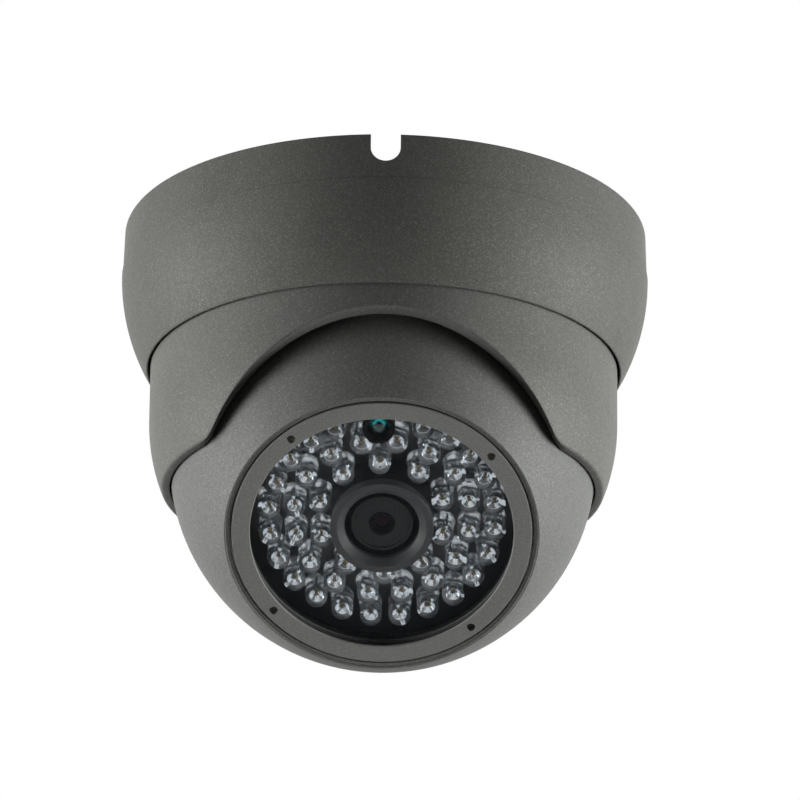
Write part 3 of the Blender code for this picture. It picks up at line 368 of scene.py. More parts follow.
def effect(name, entries, exits):
    """A new node group with its sockets, and the outputs of its start."""
    group = bpy.data.node_groups.new(name, "ShaderNodeTree")
    for label, value in entries.items():
        socket = group.interface.new_socket(label, in_out="INPUT", socket_type="NodeSocketFloat")
        socket.default_value = value
    for label in exits:
        group.interface.new_socket(label, in_out="OUTPUT", socket_type="NodeSocketFloat")
    return group, added(group, "NodeGroupInput").outputs


def own_place(tree):
    """The coordinates of the piece that wears the finish."""
    return added(tree, "ShaderNodeTexCoord").outputs["Object"]


def noise_of(tree, place, scale, detail):
    inputs = {"Vector": place, "Scale": scale, "Detail": detail}
    return added(tree, "ShaderNodeTexNoise", inputs).outputs[0]


def ranged(tree, value, target=(0.0, 1.0), source=(0.0, 1.0)):
    """A value moved from one range to another."""
    bounds = {"From Min": source[0], "From Max": source[1], "To Min": target[0], "To Max": target[1]}
    return added(tree, "ShaderNodeMapRange", {"Value": value, **bounds}).outputs[0]


def powder_grain():
    sizes = {"Scale": GRAIN_SCALE, "Fleck scale": 2 * GRAIN_SCALE}
    group, start = effect("powder_grain", sizes, ("Shade", "Fleck", "Height"))
    place = own_place(group)
    grain = noise_of(group, place, start["Scale"], GRAIN_DETAIL)
    shade = ranged(group, grain, source=GRAIN_RANGE)
    cells = added(group, "ShaderNodeTexVoronoi", {"Vector": place, "Scale": start["Fleck scale"]})
    flake = added(group, "ShaderNodeSeparateColor", {0: cells.outputs["Color"]})
    fleck = ranged(group, flake.outputs[0], source=FLECK_RANGE)
    height = sum_in(group, "ADD", grain, sum_in(group, "MULTIPLY", fleck, FLECK_RISE))
    added(group, "NodeGroupOutput", {"Shade": shade, "Fleck": fleck, "Height": height})
    return group


def handling():
    group, start = effect("handling", {"Scale": MOTTLE_SCALE}, ("Mottle", "Fine"))
    place = own_place(group)
    mottle = noise_of(group, place, start["Scale"], MOTTLE_DETAIL)
    fine = noise_of(group, place, sum_in(group, "MULTIPLY", start["Scale"], FINE_RATIO), FINE_DETAIL)
    added(group, "NodeGroupOutput", {"Mottle": ranged(group, mottle, source=MOTTLE_RANGE),
                                     "Fine": ranged(group, fine, source=MOTTLE_RANGE)})
    return group


POWDER_GRAIN = powder_grain()
HANDLING = handling()
print("Shader effects:", POWDER_GRAIN.name, "and", HANDLING.name)

# %% [markdown]
# A finish mixes a darker and a lighter shade by one of these effects, and varies its gloss by the same
# unevenness. What is the same all over a surface, such as how metallic it is, is set on the shader's own
# socket. Deep inside the ball the paint is mixed to near black, as painted shade.

# %% Mix a finish
PAINT_UNEVEN = 55.0
CLOUDING = 0.1
FLECK_SHARE = 0.75
PAINT_GLOSS = (0.54, 0.62)
PAINT_RELIEF = 0.00004
FINE_RELIEF = 0.00003
# Painted shade: the near black that the paint turns to deep inside the ball.
INNER_SHADE = (0.022, 0.022, 0.023)
SHADED_DEPTH = 0.0065


def new_finish(name, constants):
    material = bpy.data.materials.new(name)
    material.use_nodes = True
    tree = material.node_tree
    return material, tree, fed(tree, tree.nodes["Principled BSDF"], spaced(constants))


def placed(tree, group, **sizes):
    """The outputs of a shared effect, put into a finish."""
    return added(tree, "ShaderNodeGroup", spaced(sizes), node_tree=group).outputs


def shades(tree, factor, dark, light):
    """A colour between two, by a factor that changes over the surface."""
    low, high = [(*colour, 1.0) if isinstance(colour, tuple) else colour for colour in (dark, light)]
    return added(tree, "ShaderNodeMix", {0: factor, 6: low, 7: high}, data_type="RGBA").outputs[2]


def raised(tree, height, strength, distance):
    bump = {"Height": height, "Strength": strength, "Distance": distance}
    return added(tree, "ShaderNodeBump", bump).outputs[0]


def outside_of(tree, centre, radius):
    """A mask that is one outside a round space."""
    reach = added(tree, "ShaderNodeVectorMath", {0: own_place(tree), 1: centre}, operation="DISTANCE")
    return sum_in(tree, "GREATER_THAN", reach.outputs["Value"], radius)


def paint(name, dark, light, fleck, scale=GRAIN_SCALE, bump=0.3, shade_inside=None):
    """Sprayed metallic paint: two shades of grain, brighter flecks and a slight orange peel."""
    material, tree, shader = new_finish(name, {"Metallic": 0.12, "IOR": 1.4, "Specular IOR Level": 0.15})
    grain = placed(tree, POWDER_GRAIN, Scale=scale, Fleck_scale=2 * scale)
    uneven = placed(tree, HANDLING, Scale=PAINT_UNEVEN)
    ground = shades(tree, grain["Shade"], dark, light)
    clouded = shades(tree, ranged(tree, uneven["Mottle"], (0.0, CLOUDING)), ground, fleck)
    coat = shades(tree, ranged(tree, grain["Fleck"], (0.0, FLECK_SHARE)), clouded, fleck)
    # Painted shade: inside a round space deep in the ball, the paint is mixed to near black.
    if shade_inside:
        coat = shades(tree, outside_of(tree, *shade_inside), INNER_SHADE, coat)
    fed(tree, shader, {"Base Color": coat, "Roughness": ranged(tree, uneven["Fine"], PAINT_GLOSS),
                       "Normal": raised(tree, grain["Height"], bump, PAINT_RELIEF)})
    return material


def plain(name, dark, light, gloss, scale=MOTTLE_SCALE, bump=0.05, **constants):
    """A finish of two near shades, with its roughness between the two values of gloss."""
    material, tree, shader = new_finish(name, constants)
    uneven = placed(tree, HANDLING, Scale=scale)
    fed(tree, shader, {"Base Color": shades(tree, uneven["Mottle"], dark, light),
                       "Roughness": ranged(tree, uneven["Fine"], gloss)})
    if bump:
        fed(tree, shader, {"Normal": raised(tree, uneven["Fine"], bump, FINE_RELIEF)})
    return material


print("The paint's relief is", mm(PAINT_RELIEF), "mm deep")

# %% [markdown]
# The camera's paint is one dark, slightly warm grey, drawn in four copies whose brightness paints in light
# and shade. The base is a shade darker than the collar and the ball, as painted shade. The ball is a little
# lighter than the collar, and the ring round the window is lighter still, as painted light from below. The
# ring's grain is also finer. The other finishes are metals, plastics, rubber and boards, each mixed of two
# near shades.

# %% Make the paints, metals and plastics
# Painted light and shade: the four paints are one grey, each made darker or lighter for how the light falls
# on its piece.
SHADED_BASE_PAINT = paint("shaded_base_paint", (0.112, 0.114, 0.103), (0.160, 0.163, 0.148), (0.29, 0.294, 0.27))
COLLAR_PAINT = paint("collar_paint", (0.133, 0.136, 0.126), (0.192, 0.196, 0.181), (0.33, 0.335, 0.31))
BALL_PAINT = paint("ball_paint", (0.156, 0.160, 0.152), (0.225, 0.230, 0.218), (0.36, 0.366, 0.35),
                   shade_inside=(BALL.translation, ball_radius - SHADED_DEPTH))
# Painted light: the ring is lighter to stand for light from below. Its finer grain is its own.
LIT_RING_PAINT = paint("lit_ring_paint", (0.252, 0.256, 0.242), (0.318, 0.323, 0.306), (0.42, 0.426, 0.40),
                   scale=2900.0, bump=0.25)
PLATED_STEEL = plain("plated_steel", (0.42, 0.43, 0.45), (0.58, 0.58, 0.57), (0.22, 0.42),
                     scale=160.0, Metallic=1.0)
DARK_STEEL = plain("dark_steel", (0.020, 0.020, 0.021), (0.034, 0.034, 0.035), (0.32, 0.5), Metallic=0.8)
NYLON = plain("natural_nylon", (0.62, 0.60, 0.54), (0.74, 0.72, 0.66), (0.42, 0.55))
SATIN_BLACK = plain("satin_black", (0.018, 0.018, 0.019), (0.026, 0.026, 0.028), (0.38, 0.48), scale=220.0)
SLEEVE_BLACK = plain("sleeve_black", (0.078, 0.079, 0.083), (0.095, 0.096, 0.100), (0.4, 0.5),
                     scale=220.0, Specular_IOR_Level=0.3)
LENS_BLACK = plain("lens_black", (0.014, 0.015, 0.016), (0.019, 0.020, 0.021), (0.45, 0.55),
                   scale=220.0, Specular_IOR_Level=0.25)
BAFFLE_BLACK = plain("baffle_black", (0.003, 0.003, 0.003), (0.006, 0.006, 0.007), (0.5, 0.65),
                     scale=400.0, Specular_IOR_Level=0.08)
# Painted light: the rubber is black, drawn as a lighter grey for light that the well behind the window
# lacks.
RUBBER = plain("black_rubber", (0.060, 0.060, 0.061), (0.080, 0.080, 0.082), (0.7, 0.85),
               scale=180.0, bump=0.2)
# Partly painted light: the board is its own dark grey, made lighter still for light that the well behind the
# window lacks.
BLACK_BOARD = plain("black_board", (0.065, 0.065, 0.069), (0.095, 0.095, 0.100), (0.28, 0.42),
                    scale=120.0, bump=0.3)
GREEN_BOARD = plain("green_board", (0.012, 0.085, 0.035), (0.022, 0.13, 0.055), (0.25, 0.4),
                    scale=200.0, bump=0.2)
BRASS = plain("brass", (0.55, 0.40, 0.16), (0.70, 0.53, 0.24), (0.2, 0.35), Metallic=1.0)
LAMP_SILVER = plain("lamp_silver", (0.86, 0.89, 0.92), (0.96, 0.98, 0.99), (0.04, 0.14),
                    scale=900.0, Metallic=1.0)
BOND_GOLD = plain("bond_gold", (0.02, 0.017, 0.012), (0.24, 0.185, 0.09), (0.25, 0.4),
                  scale=2500.0, Metallic=1.0)
print(len(bpy.data.materials), "finishes so far")

# %% [markdown]
# Glass and epoxy are clear and smooth, so they have no relief. The window is thin and coated: it stays
# almost unseen from the front and shows a reflection only when looked at from the side, because its alpha
# rises with the Layer Weight. The lamps are solid epoxy, and refract what is inside them. The light
# sensor's epoxy is dyed, and the lens and the image sensor have dark glass with a coloured coat.

# %% Make the clear finishes
CLEAR = {"scale": 300.0, "bump": 0.0}
PANE_BLEND = 0.15
# Partly painted light: the least alpha lays a faint pale haze over everything behind the pane and lifts its
# dark inside. Only part of the haze is the glass's own reflection.
PANE_ALPHA = (0.013, 0.22)

WINDOW_GLASS = plain("window_glass", (0.50, 0.57, 0.61), (0.57, 0.63, 0.66), (0.02, 0.05),
                     scale=40.0, bump=0.0, IOR=1.45)
pane_tree = WINDOW_GLASS.node_tree
edge_on = added(pane_tree, "ShaderNodeLayerWeight", {"Blend": PANE_BLEND}).outputs["Fresnel"]
fed(pane_tree, pane_tree.nodes["Principled BSDF"], {"Alpha": ranged(pane_tree, edge_on, PANE_ALPHA)})
EPOXY = plain("clear_epoxy", (0.85, 0.91, 0.96), (0.91, 0.96, 1.0), (0.0, 0.03), **CLEAR,
              Transmission_Weight=0.80, IOR=1.5)
CELL_EPOXY = plain("cell_epoxy", (0.005, 0.22, 0.23), (0.01, 0.36, 0.37), (0.0, 0.03), **CLEAR,
                   Transmission_Weight=0.97, IOR=1.5)
SENSOR_FACE = plain("sensor_face", (0.001, 0.004, 0.005), (0.003, 0.035, 0.037), (0.03, 0.08), **CLEAR,
                    IOR=1.6, Specular_Tint=(0.15, 0.85, 0.85, 1.0))
LENS_GLASS = plain("lens_glass", (0.003, 0.002, 0.004), (0.008, 0.003, 0.007), (0.02, 0.05), **CLEAR,
                   IOR=1.25, Specular_Tint=(0.6, 0.25, 0.5, 1.0))
print(len(bpy.data.materials), "finishes")

# %% [markdown]
# A finished piece belongs to one of the bodies that the joints move, so it rides on that body. It also
# stands for one or more of the imported solids, which it hides.

# %% Fit a finished piece
def fitted(piece, body, finish, slot, *nodes):
    """Gives a finished piece its finish and its body, and hides the CAD nodes it stands for. The slot is not
    used.
    """
    piece.data.materials.clear()
    piece.data.materials.append(finish)
    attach(piece, body)
    if nodes:
        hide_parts(*nodes)
    print(piece.name, "rides on", body, "with", len(piece.data.polygons), "faces")


print("Joints:", ", ".join(joints))

# %% [markdown]
# ## The base
# The base is a cast bowl. Its rim stands straight, a fine step marks the widest line, and below it the wall
# bends in to a thin lower edge round the collar. Inside there is a ledge for the collar and a groove for
# the split ring. All of it is one turned outline, with its edges softened.

# %% Turn the bowl
FIT = 0.0003
RIM_SOFT = 0.0005
EDGE_SOFT = 0.00025
CREASE_STEP = 0.0002
EDGE_SHARE = 0.45
BOWL_STEPS = 32

base_low = span("base_housing", UPRIGHT).low
mouth_radius, foot_radius = radii_at("base_housing", UPRIGHT, base_low)
edge_radius = mouth_radius + EDGE_SHARE * (foot_radius - mouth_radius)
rim_radius = radii_at("base_housing", UPRIGHT, 0.0)[1]
crease_radius, crease_place = max(round_points("base_housing", UPRIGHT))
friction = span("pan_friction_ring", UPRIGHT)
snap = span("pan_snap_ring", UPRIGHT)
ledge_place = friction.low - FIT
pocket_radius = friction.outer + FIT
groove_radius = snap.outer + FIT


def bowl_outline():
    outline = [(rim_radius, 0.0, RIM_SOFT), (crease_radius - CREASE_STEP, crease_place + CREASE_STEP, 0.0)]
    outline += falling_curve((crease_radius, crease_place), (edge_radius, base_low), BOWL_STEPS)[:-1]
    outline += [(edge_radius, base_low, EDGE_SOFT), (mouth_radius, base_low, EDGE_SOFT)]
    outline += [(mouth_radius, ledge_place, 0.0), (pocket_radius, ledge_place, 0.0)]
    outline += [(pocket_radius, snap.low - FIT, 0.0), (groove_radius, snap.low - FIT, 0.0)]
    outline += [(groove_radius, snap.high + FIT, 0.0), (pocket_radius, snap.high + FIT, 0.0)]
    return outline + [(pocket_radius, 0.0, RIM_SOFT)]


bowl = turned("base_bowl", bowl_outline())
print("Bowl", mm(2 * crease_radius), "mm across,", mm(-base_low), "mm tall")

# %% [markdown]
# Four lugs inside the rim hang on the plate's hooks, and a U-shaped notch at the front lets a cable out
# sideways. The lugs are one rounded block set out by the ring tree and joined on. The notch is cut with a
# round-bottomed slab, and the hole of the lock screw at the back with a rod.

# %% Add the lugs, and cut the notch and the lock hole
LUG_COUNT = 4
LUG_FIRST_ANGLE = math.pi / 4
LUG_LENGTH = 0.0050
LUG_THICKNESS = 0.0020
LUG_WIDTH = 0.0120
LUG_DROP = 0.0023
LUG_SOFT = 0.0004
LUG_SEGMENTS = 3
NOTCH_WIDTH = 0.0066
NOTCH_DEPTH = 0.0066
NOTCH_SIDES = 24


def add_block(form, size, centre):
    bmesh.ops.create_cube(form, size=1.0, matrix=Matrix.Translation(centre) @ Matrix.Diagonal((*size, 1.0)))


def slab(name, outline, low, high):
    """A flat outline in X and Z, standing between two places along Y."""
    form = bmesh.new()
    front = [form.verts.new((x, low, z)) for x, z in outline]
    back = [form.verts.new((x, high, z)) for x, z in outline]
    form.faces.new(front)
    form.faces.new(back)
    for i in range(len(outline)):
        form.faces.new((front[i - 1], front[i], back[i], back[i - 1]))
    return ended(name, form, UPRIGHT)


sunk = (crease_radius - pocket_radius) / 2
block = bmesh.new()
add_block(block, (LUG_LENGTH + sunk, LUG_WIDTH, LUG_THICKNESS), ((sunk - LUG_LENGTH) / 2, 0.0, 0.0))
bmesh.ops.bevel(block, geom=block.edges, offset=LUG_SOFT, segments=LUG_SEGMENTS, profile=0.5,
                affect="EDGES")
lugs = ring_of("lugs", ended("lug", block, UPRIGHT), Count=LUG_COUNT, Radius=pocket_radius,
               Height=-LUG_DROP - LUG_THICKNESS / 2, First_angle=LUG_FIRST_ANGLE)
worked(bowl, lugs, "UNION")
half = NOTCH_WIDTH / 2
bend = [corner[:2] for corner in arc((0.0, half - NOTCH_DEPTH), half, math.pi, 2 * math.pi, NOTCH_SIDES)]
notch = slab("notch", [(half, half), (-half, half)] + bend, -crease_radius - half, -pocket_radius + half)
worked(bowl, notch, "DIFFERENCE")
lock_low, lock_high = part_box("base_lock_screw")
lock_radius = (lock_high.x - lock_low.x) / 2
lock_height = (lock_low.z + lock_high.z) / 2
TOWARDS_BACK = Matrix.Translation((0.0, 0.0, lock_height)) @ Matrix.Rotation(-math.pi / 2, 4, "X")
lock_hole = rod("lock_hole", lock_radius + FIT, pocket_radius - half, crease_radius + half, TOWARDS_BACK)
worked(bowl, lock_hole, "DIFFERENCE")
fitted(bowl, "base", SHADED_BASE_PAINT, "grey_paint", "base_housing")

# %% [markdown]
# ## The collar
# The collar turns in the base. Its wall is straight at the top and bends in round the ball, and a wide
# scallop at its front leaves room for the window. The scallop is a large arc that runs out at each side
# over a small rounded corner.

# %% Measure the collar
SCALLOP_RADIUS = 0.0436
SCALLOP_CORNER = 0.0040

collar_points = round_points("pan_collar", UPRIGHT)
collar_low, flange_top = span("pan_collar", UPRIGHT)[2:]
collar_foot = radii_at("pan_collar", UPRIGHT, collar_low)[1]
socket_radius, flange_radius = radii_at("pan_collar", UPRIGHT, flange_top)
flange_bottom = min(place for radius, place in collar_points if radius > flange_radius - SAME_PLACE)
collar_radius = radii_at("pan_collar", UPRIGHT, flange_bottom)[0]
shoulder = min(place for radius, place in collar_points if abs(radius - collar_radius) < SAME_PLACE)
scallop_top = max(corner.z for corner in corners_of("pan_collar", UPRIGHT)
                  if corner.y < 0 and abs(corner.x) < SAME_PLACE and corner.z < base_low)
scallop_centre = scallop_top - SCALLOP_RADIUS
corner_height = collar_low - FIT + SCALLOP_CORNER
corner_x = math.sqrt((SCALLOP_RADIUS + SCALLOP_CORNER) ** 2 - (corner_height - scallop_centre) ** 2)
corner_start = corner_x * SCALLOP_RADIUS / (SCALLOP_RADIUS + SCALLOP_CORNER)
print("Scallop top at", mm(scallop_top), "mm, corners at", mm(corner_x), "mm to each side")

# %% [markdown]
# A boolean would leave rough facets along the scallop's edge, so the wall is built as upright slices
# instead: each slice follows the outside down to the foot or to the scallop, whichever comes first, crosses
# the wall with softened edges, and goes up the inside. The wall's radius changes with the height, so the
# end of a slice is found in rounds.

# %% Shape a slice of the collar
WALL_STEPS = 24
SOCKET_STEPS = 10
WALL_EDGE_SOFT = 0.0006
EDGE_ROUNDS = 40


def scallop_height(x):
    """How high the front cut-out reaches at a distance from the middle."""
    across = abs(x)
    if across <= corner_start:
        return scallop_centre + math.sqrt(SCALLOP_RADIUS ** 2 - across ** 2)
    if across < corner_x:
        return corner_height - math.sqrt(SCALLOP_CORNER ** 2 - (corner_x - across) ** 2)
    return collar_low


def outer_wall(height):
    if height >= shoulder:
        return collar_radius
    bend = bend_radius(collar_radius - collar_foot, shoulder - collar_low)
    return collar_radius - bend + math.sqrt(bend ** 2 - (shoulder - height) ** 2)


def inner_wall(height):
    below = min(0.0, height - BALL.translation.z)
    return math.sqrt(socket_radius ** 2 - below ** 2)


def wall_end(wall, azimuth):
    """How low one side of the wall reaches in a slice."""
    height = collar_low
    if math.cos(azimuth) > 0:
        for attempt in range(EDGE_ROUNDS):
            height = max(collar_low, scallop_height(wall(height) * math.sin(azimuth)))
    return height


def collar_slice(azimuth):
    outer_end = wall_end(outer_wall, azimuth)
    inner_end = wall_end(inner_wall, azimuth)
    outline = [(flange_radius, flange_top, RIM_SOFT), (flange_radius, flange_bottom, 0.0)]
    for step in range(WALL_STEPS):
        height = flange_bottom + (outer_end - flange_bottom) * step / WALL_STEPS
        outline.append((outer_wall(height), height, 0.0))
    outline.append((outer_wall(outer_end), outer_end, WALL_EDGE_SOFT))
    outline.append((inner_wall(inner_end), inner_end, WALL_EDGE_SOFT / 2))
    rise = max(BALL.translation.z, inner_end + WALL_EDGE_SOFT) - inner_end
    for step in range(1, SOCKET_STEPS):
        height = inner_end + rise * step / SOCKET_STEPS
        outline.append((inner_wall(height), height, 0.0))
    outline.append((socket_radius, flange_top, RIM_SOFT))
    return softened(outline)


print("A slice has", len(collar_slice(0.0)), "corners")

# %% [markdown]
# The slices are joined into one closed wall, and the two holes for the pivot bushes are drilled through it
# in line.

# %% Join the slices
SLICES = 720


def sliced(name, count):
    """Joins upright slices, evenly set round Z from the front, into one closed wall."""
    form = bmesh.new()
    columns = []
    for i in range(count):
        azimuth = 2 * math.pi * i / count
        side = Vector((math.sin(azimuth), -math.cos(azimuth), 0.0))
        points = collar_slice(azimuth)
        columns.append([form.verts.new(side * point.x + Vector((0.0, 0.0, point.y))) for point in points])
    for left, right in zip(columns, columns[1:] + columns[:1]):
        for j in range(len(left)):
            form.faces.new((left[j - 1], left[j], right[j], right[j - 1]))
    return ended(name, form, UPRIGHT)


def across_ball(side):
    """Axes along the tilt line, towards one of its sides."""
    return Matrix.Translation(BALL.translation) @ Matrix.Rotation(side * math.pi / 2, 4, "Y")


collar = sliced("collar_wall", SLICES)
bush_low, bush_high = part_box("pivot_bush_right")
bush_radius = (bush_high.z - bush_low.z) / 2
bush_hole = rod("bush_hole", bush_radius + FIT, -bush_high.x - FIT, bush_high.x + FIT, across_ball(1))
worked(collar, bush_hole, "DIFFERENCE")
fitted(collar, "collar", COLLAR_PAINT, "grey_paint", "pan_collar")

# %% [markdown]
# ## The ball
# The ball is two cast shells that meet behind its middle. The front one has the window's bore, with a
# narrow sunk lip round it, and a seat for the glass. It is one turned outline, from the lip over the
# outside to the joint and back.

# %% Turn the front shell
BALL_STEPS = 40
LIP_SOFT = 0.00022
SHELL_WALL = 0.0025
SEAT_DEEP = 0.0018

shell_joint, lip_plane = span("ball_front_shell", BALL)[2:]
lip_inner, lip_outer = radii_at("ball_front_shell", BALL, lip_plane)
ball_bore = ball_radius - SHELL_WALL
gasket = span("window_gasket", BALL)
seat_front = gasket.low - FIT
seat_back = seat_front - SEAT_DEEP
seat_inner = radii_at("ball_front_shell", BALL, seat_front)[0]
window_bore = gasket.outer + FIT
lip_floor = min(place for radius, place in round_points("ball_front_shell", BALL)
                if abs(radius - window_bore) < SAME_PLACE and place > seat_front + SAME_PLACE)


def ball_arc(radius, first, last, steps):
    return arc((0.0, 0.0), radius, math.asin(first / radius), math.asin(last / radius), steps)


def front_shell_outline():
    outline = [(window_bore, lip_floor, LIP_SOFT), (lip_inner, lip_floor, 0.0)]
    outline += [(lip_inner, lip_plane, LIP_SOFT)]
    outline += ball_arc(ball_radius, lip_plane, shell_joint, BALL_STEPS)
    outline += ball_arc(ball_bore, shell_joint, seat_back, BALL_STEPS // 2)
    outline += [(seat_inner, seat_back, LIP_SOFT), (seat_inner, seat_front, LIP_SOFT)]
    return outline + [(window_bore, seat_front, 0.0)]


front_shell = turned("ball_front", front_shell_outline(), BALL)
print("Lip from", mm(window_bore), "to", mm(lip_outer), "mm radius")

# %% [markdown]
# Inside the front shell stand bosses for the screws that hold the shells together, and posts for the lamp
# board. They are cast in one with the wall and drilled. Here each kind is one rod, set out by the ring tree
# and joined on, and the holes are thinner rods that are cut away.

# %% Add the bosses and posts
BOSS_COUNT = 3
BOSS_WALL = 0.0016
POST_RADIUS = 0.0019


def middle_in_ball(node):
    """The centre of a node's box, seen from the ball: its radius and its angle round the optical axis."""
    low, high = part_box(node)
    seen = BALL.inverted() @ ((low + high) / 2)
    return math.hypot(seen.x, seen.y), math.atan2(seen.y, seen.x)


def on_circle(radius, angle):
    """The ball's axes, moved to a place on a circle round the optical axis."""
    return BALL @ Matrix.Translation((radius * math.cos(angle), radius * math.sin(angle), 0.0))


def ringed(piece, part, places, operation):
    """Joins a ring of parts to a shell of the ball, or cuts it out."""
    worked(piece, ring_of("ring", part, BALL, **places), operation)


screw_points = corners_of("shell_screw_1", BALL)
screw_circle, screw_angle = middle_in_ball("shell_screw_1")
screw_head = max(point.x for point in screw_points)
head_seat = max(point.z for point in screw_points if point.x > screw_head - SAME_PLACE)
screw_tip = max(point.z for point in screw_points)
shank_radius = max(point.x for point in screw_points if point.z > screw_tip - SAME_PLACE)
boss_radius = screw_head + FIT + BOSS_WALL
bosses_at = {"Count": BOSS_COUNT, "Radius": screw_circle, "First angle": screw_angle}
boss = rod("boss", boss_radius, shell_joint + FIT, screw_tip + BOSS_WALL, softness=FIT)
boss_hole = rod("boss_hole", shank_radius + FIT, shell_joint - SHELL_WALL, screw_tip + 2 * FIT)
ringed(front_shell, boss, bosses_at, "UNION")
ringed(front_shell, boss_hole, bosses_at, "DIFFERENCE")

post_circle, post_angle = middle_in_ball("led_board_screw_1")
posts_at = {"Count": BOSS_COUNT, "Radius": post_circle, "First angle": post_angle}
board_front = span("led_board", BALL).high
board_screw_tip = span("led_board_screw_1", BALL).high
post_shank = radii_at("led_board_screw_1", on_circle(post_circle, post_angle), board_screw_tip)[1]
post = rod("post", POST_RADIUS, board_front + FIT, seat_back + SEAT_DEEP / 2)
post_hole = rod("post_hole", post_shank + FIT, board_front, board_screw_tip + FIT)
ringed(front_shell, post, posts_at, "UNION")
ringed(front_shell, post_hole, posts_at, "DIFFERENCE")
print("Bosses at", mm(screw_circle), "mm and posts at", mm(post_circle), "mm from the axis")

# %% [markdown]
# The ball hangs on two pivot pins in nylon bushes. Round each pin the wall is thicker, and one long rod
# drills both holes in line.

# %% Add the pivot places
PIVOT_BOSS_WALL = 0.0022
PIVOT_BOSS_HEIGHT = 0.0020

pivot_radius = radii_at("pivot_bush_right", across_ball(1), bush_high.x)[0] - FIT
for side in (-1, 1):
    pivot_boss = rod("pivot_boss", pivot_radius + PIVOT_BOSS_WALL, ball_bore - PIVOT_BOSS_HEIGHT,
                     ball_bore + SHELL_WALL / 2, across_ball(side))
    worked(front_shell, pivot_boss, "UNION")
pivot_reach = ball_radius + SHELL_WALL
pivot_hole = rod("pivot_hole", pivot_radius + FIT, -pivot_reach, pivot_reach, across_ball(1))
worked(front_shell, pivot_hole, "DIFFERENCE")
fitted(front_shell, "ball", BALL_PAINT, "grey_paint", "ball_front_shell")

# %% [markdown]
# The rear shell closes the ball. It has a flat with a hole for the cable gland, a groove for the sealing
# cord and three deep holes for the screw heads. A fine step at its edge leaves the joint with the front
# shell as a dark line. The bosses round the screw heads are rods that a smaller ball trims, so that they
# end inside the wall.

# %% Turn the rear shell
SHELL_GAP = 0.00002
SEAM_WIDTH = 0.0003
SEAM_DEPTH = 0.0005

rear_joint = shell_joint - SHELL_GAP
seam_place = rear_joint - SEAM_WIDTH
seam_floor = math.sqrt(ball_radius ** 2 - seam_place ** 2) - SEAM_DEPTH
gland_plane = span("ball_rear_shell", BALL).low
gland_hole = radii_at("ball_rear_shell", BALL, gland_plane)[0]
cord = span("shell_seal", BALL)
limit_radius = ball_radius - SHELL_WALL / 2


def rear_shell_outline():
    inner_flat = gland_plane + SHELL_WALL
    groove = Span(cord.inner - FIT / 2, cord.outer + FIT / 2, cord.low - FIT / 2, rear_joint)
    outline = ball_arc(ball_radius, seam_place, gland_plane, BALL_STEPS)
    outline += [(gland_hole, gland_plane, LIP_SOFT), (gland_hole, inner_flat, 0.0)]
    outline += ball_arc(ball_bore, inner_flat, rear_joint, BALL_STEPS // 2)
    outline += [(groove.inner, groove.high, 0.0), (groove.inner, groove.low, 0.0)]
    outline += [(groove.outer, groove.low, 0.0), (groove.outer, groove.high, 0.0)]
    return outline + [(seam_floor, rear_joint, 0.0), (seam_floor, seam_place, 0.0)]


rear_shell = turned("ball_rear", rear_shell_outline(), BALL)
limit_arc = ball_arc(limit_radius, limit_radius, -limit_radius, BALL_STEPS)
limit = turned("boss_limit", limit_arc, BALL, SMALL_TURN_STEPS)
rear_boss = rod("rear_boss", boss_radius, -ball_bore, rear_joint - FIT)
rear_bosses = worked(ring_of("rear_bosses", rear_boss, BALL, **bosses_at), limit, "INTERSECT")
worked(rear_shell, rear_bosses, "UNION")
tunnel = rod("tunnel", screw_head + FIT, -ball_radius, head_seat + FIT)
ringed(rear_shell, tunnel, bosses_at, "DIFFERENCE")
rear_hole = rod("rear_hole", shank_radius + FIT, head_seat - FIT, rear_joint + SHELL_WALL)
ringed(rear_shell, rear_hole, bosses_at, "DIFFERENCE")
fitted(rear_shell, "ball", BALL_PAINT, "grey_paint", "ball_rear_shell")

# %% [markdown]
# ## The window
# A painted ring screws into the bore and holds the glass on its gasket. Its face is flat, with fine
# chamfers and four small holes for a pin spanner. The holes are one peg, set out by the ring tree and cut
# away.

# %% Make the window ring, the glass and the gasket
SPANNER_HOLES = 4
SPANNER_HOLE_RADIUS = 0.00098
SPANNER_HOLE_DEPTH = 0.0012
SPANNER_FIRST_ANGLE = math.radians(40.0)
RING_CHAMFER = 0.00025
PANE_CHAMFER = 0.0002
RING_SEAM = 0.0001

bezel = span("front_bezel", BALL)
bezel = bezel._replace(outer=bezel.outer - RING_SEAM)
window_ring = tube("window_ring", bezel, BALL, RING_CHAMFER, RING_CHAMFER)
peg = rod("peg", SPANNER_HOLE_RADIUS, bezel.high - SPANNER_HOLE_DEPTH, bezel.high + SPANNER_HOLE_DEPTH)
pegs_at = {"Count": SPANNER_HOLES, "Radius": (bezel.inner + bezel.outer) / 2,
           "First angle": SPANNER_FIRST_ANGLE}
ringed(window_ring, peg, pegs_at, "DIFFERENCE")
fitted(window_ring, "ball", LIT_RING_PAINT, "grey_paint", "front_bezel")

pane = span("window_glass", BALL)
window_pane = rod("window_pane", pane.outer, pane.low, pane.high, BALL, PANE_CHAMFER, TURN_STEPS)
fitted(window_pane, "ball", WINDOW_GLASS, "window_glass", "window_glass")
window_seal = tube("window_seal", gasket, BALL, PANE_CHAMFER, PANE_CHAMFER)
fitted(window_seal, "ball", RUBBER, "black_rubber", "window_gasket")

# %% [markdown]
# ## The infrared lamps
# Each lamp is a clear 5 mm lamp: a domed epoxy body with a flange at its foot. It is one turned outline, of
# few steps, because there are nearly fifty of them.

